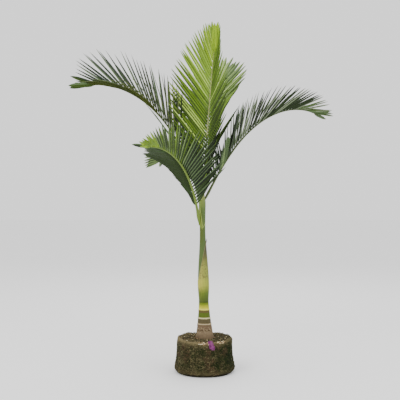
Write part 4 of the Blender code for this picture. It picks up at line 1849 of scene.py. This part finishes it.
def centre_frond() -> FrondShape:
    """Young upright frond in the middle, lime green, with its tip still half closed. Its lime
    tones are partly painted light that shines through the young leaflets, and its dark tones at
    the foot of the blade paint the shade inside the crown.
    """
    t = LeafTone
    right, left = Side.RIGHT, Side.LEFT
    closing = accents(((0.87, right, 0.212, 0.014, 19.5, t.GLINT, t.SPRING),
                       (0.88, right, 0.218, 0.014, 15.5, t.LIME, t.SPRING),
                       (0.90, right, 0.193, 0.014, 13.5, t.GLINT, t.SPRING),
                       (0.94, right, 0.168, 0.014, 12.0, t.LIME, t.SPRING),
                       (0.97, right, 0.142, 0.016, 9.0, t.GLINT, t.SPRING)),
                      vee=17.0, tilt=10.0, extra=True, taper=6.0)
    tip = (accents(((0.95, right, 0.150, 0.030, 3.0, t.TIP_LIME, t.TIP_LIME),),
                   vee=10.0, tilt=10.0, taper=5.0)
           + accents(((0.92, right, 0.160, 0.024, 14.0, t.LIME, t.SPRING),),
                     vee=30.0, tilt=10.0, taper=5.0)
           + accents(((0.95, left, 0.165, 0.028, 4.0, t.TIP_LIME, t.TIP_LIME),),
                     vee=30.0, tilt=-30.0, taper=5.0))
    return FrondShape(
        "frond_centre", ("frond_centre",), "young_leaf", crown_foot(285.0),
        heading=-60.0, sweep=-15.0, rise=83.0, bow=12.0, bow_power=1.6, length=0.895, petiole=0.10,
        pairs=42, leaf=0.350, angle_foot=42.0, angle_tip=5.0, turn=4.5,
        right_row=Row(17.0, 0.0165, 10.0,
                      ((0.15, t.DEEP, t.DARK), (0.30, t.YOUNG, t.DEEP), (0.50, t.SPRING, t.MOSS),
                       (0.66, t.LIME, t.YOUNG), (0.84, t.LIME, t.SPRING),
                       (1.0, t.TIP_LIME, t.SPRING)),
                      spark=t.GLINT, spark_share=0.26, taper=4.0, scale=1.08, end_scale=0.87,
                      scale_from=0.75),
        left_row=Row(34.0, 0.0145, -20.0,
                     ((0.15, t.DEEP, t.DARK), (0.30, t.LEAF, t.DEEP), (0.55, t.SPRING, t.MOSS),
                      (0.78, t.LEAF, t.YOUNG), (1.0, t.TIP_LIME, t.SPRING)),
                     lay=Lay(start=0.55, span=0.18, vee=30.0, angle=13.0, tilt=-35.0),
                     spark=t.GLINT, spark_share=0.28, taper=3.0),
        stalk_tones=(t.RIB, t.STALK), low_tone=(1.36, t.MOSS), roll_tip=-5.0,
        left_scale=0.95, end_share=0.38, fall=2.6, accents=closing + tip, seed=3)


def front_frond() -> FrondShape:
    """Outer frond that leans to the viewer and arches over to the left."""
    t = LeafTone
    right, left = Side.RIGHT, Side.LEFT
    foot = (accents(((0.10, right, 0.160, 0.014, 44.0, t.TEAL, t.DARK),), vee=21.0, tilt=-12.0)
            + accents(((0.02, left, 0.170, 0.016, 39.5, t.GREY, t.DEEP),
                       (0.05, left, 0.220, 0.018, 44.0, t.GREY, t.DEEP),
                       (0.09, left, 0.260, 0.020, 46.5, t.GREY, t.DEEP),
                       (0.12, left, 0.255, 0.020, 50.0, t.GREY, t.DEEP)), vee=20.0, tilt=-10.0)
            + accents(((0.06, left, 0.250, 0.016, 46.5, t.BLUE, t.DARK),
                       (0.14, left, 0.260, 0.016, 56.0, t.FOREST, t.DARK)),
                      vee=26.0, tilt=-10.0, extra=True))
    notch = accents(((0.62, right, 0.190, 0.030, 22.0, t.FOREST, t.DEEP),
                     (0.69, right, 0.165, 0.030, 18.0, t.FOREST, t.DEEP),
                     (0.76, right, 0.130, 0.028, 18.0, t.FOREST, t.DEEP),
                     (0.83, right, 0.100, 0.026, 18.0, t.MOSS, t.DEEP)),
                    vee=8.0, tilt=-12.0, fold=8.0, hug=0.75)
    tip = (accents(((0.95, right, 0.100, 0.022, 70.0, t.GREY, t.DARK),),
                   vee=48.0, tilt=-60.0, extra=True, taper=4.0)
           + accents(((0.97, left, 0.100, 0.020, 4.0, t.LIME, t.SPRING),),
                     vee=21.0, tilt=-10.0, extra=True, taper=4.0))
    return FrondShape(
        "frond_front", ("frond_front_lower", "frond_front_upper"), "leaf", side_foot(),
        heading=253.9, sweep=-12.8, rise=65.4, bow=72.8, bow_power=1.127, length=0.814,
        petiole=0.118, pairs=35, leaf=0.250, angle_foot=43.0, angle_tip=20.0,
        right_row=Row(8.0, 0.030, -12.0, ((0.7, t.FOREST, t.DEEP), (1.0, t.MOSS, t.FOREST)),
                      lay=Lay(start=-1.0, span=0.2, vee=8.0, angle=30.0, tilt=-12.0, hug=0.75),
                      fold=8.0, scale=1.22, end_scale=0.18, scale_from=0.22,
                      spark=t.MOSS, spark_share=0.35),
        left_row=Row(14.0, 0.0175, -10.0,
                     ((0.20, t.GREY, t.SHADOW), (0.45, t.GREY, t.DARK), (0.55, t.YOUNG, t.DEEP),
                      (0.72, t.SPRING, t.MOSS), (0.84, t.SAGE, t.DEEP),
                      (1.0, t.TIP_LIME, t.SPRING)),
                     base=0.60, widest=0.16, taper=3.0, scale=1.30, end_scale=0.80, scale_from=0.6,
                     lay=Lay(start=0.58, span=-0.30, vee=20.0, angle=53.0, tilt=-10.0, reach=0.88),
                     spark=t.SAGE, spark_share=0.2),
        stalk_tones=(t.STALK, t.SAGE), roll_foot=7.0, roll_tip=-38.0, foot_share=0.20,
        foot_left=1.45, left_scale=0.92, ramp=0.26, end_share=0.48, foot_half=0.0076, girth=1.5,
        accents=foot + notch + tip, seed=5)


def left_frond() -> FrondShape:
    """Long frond that arches to the left, its outer near row folded down along the stalk."""
    t = LeafTone
    # The dark steps paint the shade in which this frond hangs, and the GREY sparks paint glints on
    # it.
    far = ((0.40, t.DARK, t.SHADOW), (0.60, t.DEEP, t.SHADOW), (0.85, t.BLUE, t.SHADOW),
           (1.0, t.BLUE, t.DARK))
    near = ((0.30, t.DEEP, t.SHADOW), (0.60, t.DULL_STALK, t.OLIVE),
            (0.80, t.GREY, t.DULL_STALK), (1.0, t.GREY, t.OLIVE))
    broad = (accents(((0.66, Side.RIGHT, 0.315, 0.028, 32.0, t.MOSS, t.SHADOW),),
                     vee=40.0, tilt=10.0, widest=0.5)
             + accents(((0.93, Side.RIGHT, 0.155, 0.024, 26.0, t.MOSS, t.DEEP),),
                       vee=24.0, tilt=30.0, widest=0.4, taper=3.0))
    tip = (accents(((0.93, Side.LEFT, 0.180, 0.032, 36.0, t.GREY, t.MOSS),),
                   vee=24.0, tilt=-75.0, taper=4.0)
           + accents(((0.97, Side.LEFT, 0.130, 0.026, 40.0, t.GREY, t.MOSS),),
                     vee=30.0, tilt=-75.0, taper=4.0))
    return FrondShape(
        "frond_left", ("frond_left_lower", "frond_left_upper"), "leaf", crown_foot(213.0),
        heading=179.0, sweep=8.5, rise=72.45, bow=83.0, bow_power=1.94, length=1.034, petiole=0.10,
        pairs=46, leaf=0.365, angle_foot=42.0, angle_tip=13.0, turn=4.0, opposite=True,
        right_row=Row(40.0, 0.0145, 8.0, far, scale=1.16, end_scale=0.5, scale_from=0.74,
                      taper=3.0, base=0.45, spark=t.GREY, spark_share=0.3),
        left_row=Row(40.0, 0.0120, 8.0, near, taper=3.0, base=0.45, end_scale=0.75,
                     lay=Lay(start=0.30, span=0.25, vee=40.0, angle=7.0, tilt=-75.0, width=1.6,
                             hug=0.9)),
        stalk_tones=(t.DULL_STALK, t.DEEP), roll_tip=46.0, roll_turn=5.0, end_share=0.26,
        fall=5.5, girth=1.4, tip_width=1.0,
        stray=Stray(start=0.10, end=0.24, vee=-40.0, angle=18.0), accents=broad + tip, seed=7)


def right_frond() -> FrondShape:
    """Frond that arches to the right, with dark and pale leaflets side by side."""
    t = LeafTone
    right, left = Side.RIGHT, Side.LEFT
    # The dark steps paint the shade in which this frond hangs; the pale row and the MIST sparks
    # paint pale highlights between its dark leaflets.
    dark = ((0.25, t.BLUE, t.SHADOW), (0.50, t.DARK, t.SHADOW), (0.80, t.DEEP, t.SHADOW),
            (1.0, t.GREY, t.MOSS))
    pale = ((0.25, t.BLUE, t.SHADOW), (0.50, t.MOSS, t.SHADOW), (0.80, t.SAGE, t.DARK),
            (1.0, t.GREY, t.MOSS))
    low = accents(((0.0, left, 0.270, 0.016, 57.0, t.DEEP, t.SHADOW),
                   (0.03, right, 0.205, 0.016, 58.5, t.GREY, t.SHADOW),
                   (0.06, left, 0.220, 0.016, 52.5, t.DEEP, t.SHADOW),
                   (0.09, right, 0.210, 0.014, 55.5, t.BLUE, t.SHADOW),
                   (0.12, left, 0.220, 0.014, 50.5, t.DEEP, t.SHADOW)),
                  vee=40.0, tilt=10.0, extra=True)
    foot = (accents(((0.06, left, 0.170, 0.020, 38.0, t.GREY, t.DEEP),
                     (0.09, left, 0.200, 0.022, 38.0, t.GREY, t.DEEP),
                     (0.12, left, 0.170, 0.018, 38.0, t.GREY, t.DEEP)), vee=33.0, tilt=20.0)
            + accents(((0.06, right, 0.150, 0.018, 46.0, t.GREY, t.DEEP),
                       (0.09, right, 0.150, 0.022, 46.0, t.SAGE, t.GREY)), vee=24.0, tilt=20.0)
            + accents(((0.12, right, 0.210, 0.030, 46.0, t.GREY, t.GREY),),
                      vee=24.0, tilt=30.0, blunt=0.85))
    long = (accents(((0.16, left, 0.340, 0.017, 22.0, t.DEEP, t.SHADOW),), vee=54.0, tilt=10.0)
            + accents(((0.16, right, 0.330, 0.016, 42.0, t.DEEP, t.SHADOW),), vee=27.0, tilt=10.0)
            + accents(((0.19, left, 0.380, 0.016, 24.0, t.GREY, t.SHADOW),), vee=45.0, tilt=10.0)
            + accents(((0.19, right, 0.370, 0.017, 46.0, t.DEEP, t.SHADOW),), vee=24.0, tilt=10.0))
    tip = (accents(((0.80, left, 0.260, 0.007, 26.0, t.PALE, t.PALE),),
                   vee=75.0, tilt=0.0, extra=True)
           + accents(((0.90, right, 0.155, 0.024, 12.0, t.GREY, t.MOSS),),
                     vee=39.0, tilt=30.0, taper=4.0)
           + accents(((0.97, left, 0.100, 0.022, 14.0, t.GREY, t.MOSS),),
                     vee=39.0, tilt=60.0, taper=4.0))
    return FrondShape(
        "frond_right", ("frond_right_lower", "frond_right_upper"), "leaf", crown_foot(357.0),
        heading=-4.2, sweep=27.0, rise=62.75, bow=86.9, bow_power=2.2, length=0.963, petiole=0.135,
        pairs=42, leaf=0.305, angle_foot=42.0, angle_tip=16.0, turn=3.0, opposite=True,
        right_row=Row(40.0, 0.0105, 10.0, dark, foot_width=0.9, base=0.65, widest=0.25, taper=4.0,
                      lay=Lay(start=0.40, span=0.20, vee=40.0, angle=26.0, tilt=30.0, width=1.1),
                      spark=t.MIST, spark_share=0.52),
        left_row=Row(40.0, 0.0105, 10.0, pale, foot_width=0.9, base=0.65, widest=0.25, taper=4.0,
                     lay=Lay(start=0.45, span=0.20, vee=40.0, angle=30.0, tilt=30.0, width=1.05),
                     end_scale=0.85, spark=t.MIST, spark_share=0.45),
        stalk_tones=(t.DULL_STALK, t.DEEP), roll_tip=15.0, roll_turn=2.0, end_share=0.36,
        fall=2.6, girth=1.45, accents=low + foot + long + tip, seed=9)


def back_frond() -> FrondShape:
    """Upright frond behind the middle one, seen on its pale side."""
    t = LeafTone
    tip = (accents(((0.98, Side.LEFT, 0.165, 0.026, 5.0, t.PALE, t.SAGE),),
                   vee=5.0, tilt=0.0, taper=5.0)
           + accents(((0.97, Side.RIGHT, 0.185, 0.026, 2.5, t.PALE, t.SAGE),
                      (0.93, Side.RIGHT, 0.175, 0.026, 10.0, t.PALE, t.SAGE),
                      (0.90, Side.RIGHT, 0.195, 0.027, 20.5, t.SAGE, t.GREY),
                      (0.87, Side.RIGHT, 0.228, 0.027, 23.0, t.SAGE, t.GREY),
                      (0.83, Side.RIGHT, 0.258, 0.027, 26.5, t.SAGE, t.GREY),
                      (0.80, Side.RIGHT, 0.270, 0.026, 31.0, t.SAGE, t.GREY)),
                     vee=5.0, tilt=-20.0, taper=5.0))
    low = accents(((0.20, Side.RIGHT, 0.370, 0.024, 36.0, t.MOSS, t.DEEP),), vee=27.0, tilt=-50.0)
    return FrondShape(
        "frond_back", ("frond_back",), "back_leaf", crown_foot(69.0),
        heading=72.0, rise=75.5, bow=23.0, bow_power=1.2, length=0.890, petiole=0.10,
        pairs=38, leaf=0.312, angle_foot=42.0, angle_tip=8.0, turn=6.0,
        right_row=Row(5.0, 0.017, -20.0,
                      ((0.25, t.MOSS, t.DARK), (0.55, t.LEAF, t.DEEP), (0.68, t.SAGE, t.MOSS),
                       (0.8, t.SAGE, t.YOUNG), (1.0, t.SAGE, t.GREY)),
                      lay=Lay(start=0.75, span=-0.45, vee=5.0, angle=18.0, tilt=-20.0),
                      taper=5.0, spark=t.PALE, spark_share=0.15),
        left_row=Row(5.0, 0.016, 0.0,
                     ((0.3, t.MOSS, t.DARK), (0.6, t.SAGE, t.MOSS), (1.0, t.SAGE, t.YOUNG)),
                     taper=5.0, spark=t.PALE, spark_share=0.2),
        stalk_tones=(t.STALK, t.STALK), foot_share=0.30, foot_left=0.50, ramp=0.72,
        end_share=0.50, fall=7.0, accents=low + tip, seed=13)


def rear_frond() -> FrondShape:
    """Short frond that arches away from the viewer to the left."""
    t = LeafTone
    tones = ((0.5, t.DEEP, t.DARK), (0.8, t.OLIVE, t.DEEP), (1.0, t.SAGE, t.DEEP))
    return FrondShape(
        "frond_rear", ("frond_rear_lower", "frond_rear_upper"), "leaf", crown_foot(141.0),
        heading=125.0, rise=71.0, bow=101.0, bow_power=1.35, length=0.600, petiole=0.10,
        pairs=22, leaf=0.205, angle_foot=42.0, angle_tip=26.0,
        right_row=Row(10.0, 0.024, 0.0, tones, taper=4.0),
        left_row=Row(10.0, 0.022, -40.0, tones, taper=4.0,
                     lay=Lay(start=0.65, span=0.15, vee=10.0, angle=60.0, tilt=60.0)),
        stalk_tones=(t.STALK, t.DEEP), end_share=0.5, seed=17)


# The studio


@dataclass
class Studio:
    """Plain pale floor, soft lights and the camera at the photo's angle."""

    distance: float = 4.0
    height: float = 0.99
    sideways: float = -0.026
    lens: float = 62.07
    sensor: float = 36.0
    sight: float = 200.0
    air: float = 1.35
    aim_z: float = 1.0
    floor_side: float = 60.0
    floor_z: float = -0.0004

    def build_floor(self) -> None:
        """Wide pale floor just below the root ball."""
        deselect()
        bpy.ops.mesh.primitive_plane_add(size=self.floor_side,
                                         location=(0.0, 0.0, self.floor_z))
        floor = bpy.context.object
        floor.name = "studio_floor"
        sheet = NodeSheet("pale_floor")
        shade = sheet.ramp(sheet.cloud(sheet.place(), 1.2), [(0.0, (0.95, 0.95, 0.95, 1.0)),
                                                             (1.0, (0.97, 0.97, 0.97, 1.0))])
        sheet.surface(shade, 0.9, 0.1)
        floor.data.materials.append(sheet.material)

    def build_light(self, name: str, place: tuple[float, float, float], size: float,
                    power: float) -> None:
        """Add a soft square light that looks at the crown.

        Args:
            name: its name.
            place: where it hangs.
            size: its side.
            power: its strength in watts.
        """
        data = bpy.data.lights.new(name, "AREA")
        data.size = size
        data.energy = power
        light = bpy.data.objects.new(name, data)
        light.location = place
        aim = Vector((0.0, 0.0, self.aim_z)) - Vector(place)
        light.rotation_euler = aim.to_track_quat("-Z", "Y").to_euler()
        bpy.context.scene.collection.objects.link(light)

    def build(self) -> None:
        """Build the floor, the lights, the surroundings and the camera."""
        self.build_floor()
        for light in (("key_light", (-2.6, -3.2, 4.2), 2.6, 120.0),
                      ("fill_light", (3.4, -2.6, 2.6), 3.0, 45.0),
                      ("back_light", (0.6, 3.4, 4.0), 3.0, 60.0)):
            self.build_light(*light)
        world = bpy.data.worlds.new("studio_air")
        world.use_nodes = True
        sky = world.node_tree.nodes["Background"].inputs
        sky["Color"].default_value = (1.0, 1.0, 1.0, 1.0)
        sky["Strength"].default_value = self.air
        bpy.context.scene.world = world
        data = bpy.data.cameras.new("camera")
        data.lens = self.lens
        data.sensor_width = self.sensor
        data.clip_end = self.sight
        camera = bpy.data.objects.new("camera", data)
        camera.location = (self.sideways, -self.distance, self.height)
        camera.rotation_euler = (math.radians(90.0), 0.0, 0.0)
        bpy.context.scene.collection.objects.link(camera)
        bpy.context.scene.camera = camera


def main() -> None:
    """Dress the palm piece by piece and note the size of each finished piece."""
    logging.basicConfig(level=logging.INFO, format="%(name)s %(message)s")
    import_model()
    Studio().build()
    finishes = {tone: LeafFinish(tone).build() for tone in LeafTone}
    RootBall().build()
    Trunk().build()
    Sheaths().build()
    for shape in (centre_frond(), front_frond(), left_frond(), right_frond(), back_frond(),
                  rear_frond()):
        Frond(shape, finishes).build()


if __name__ == "__main__":
    main()
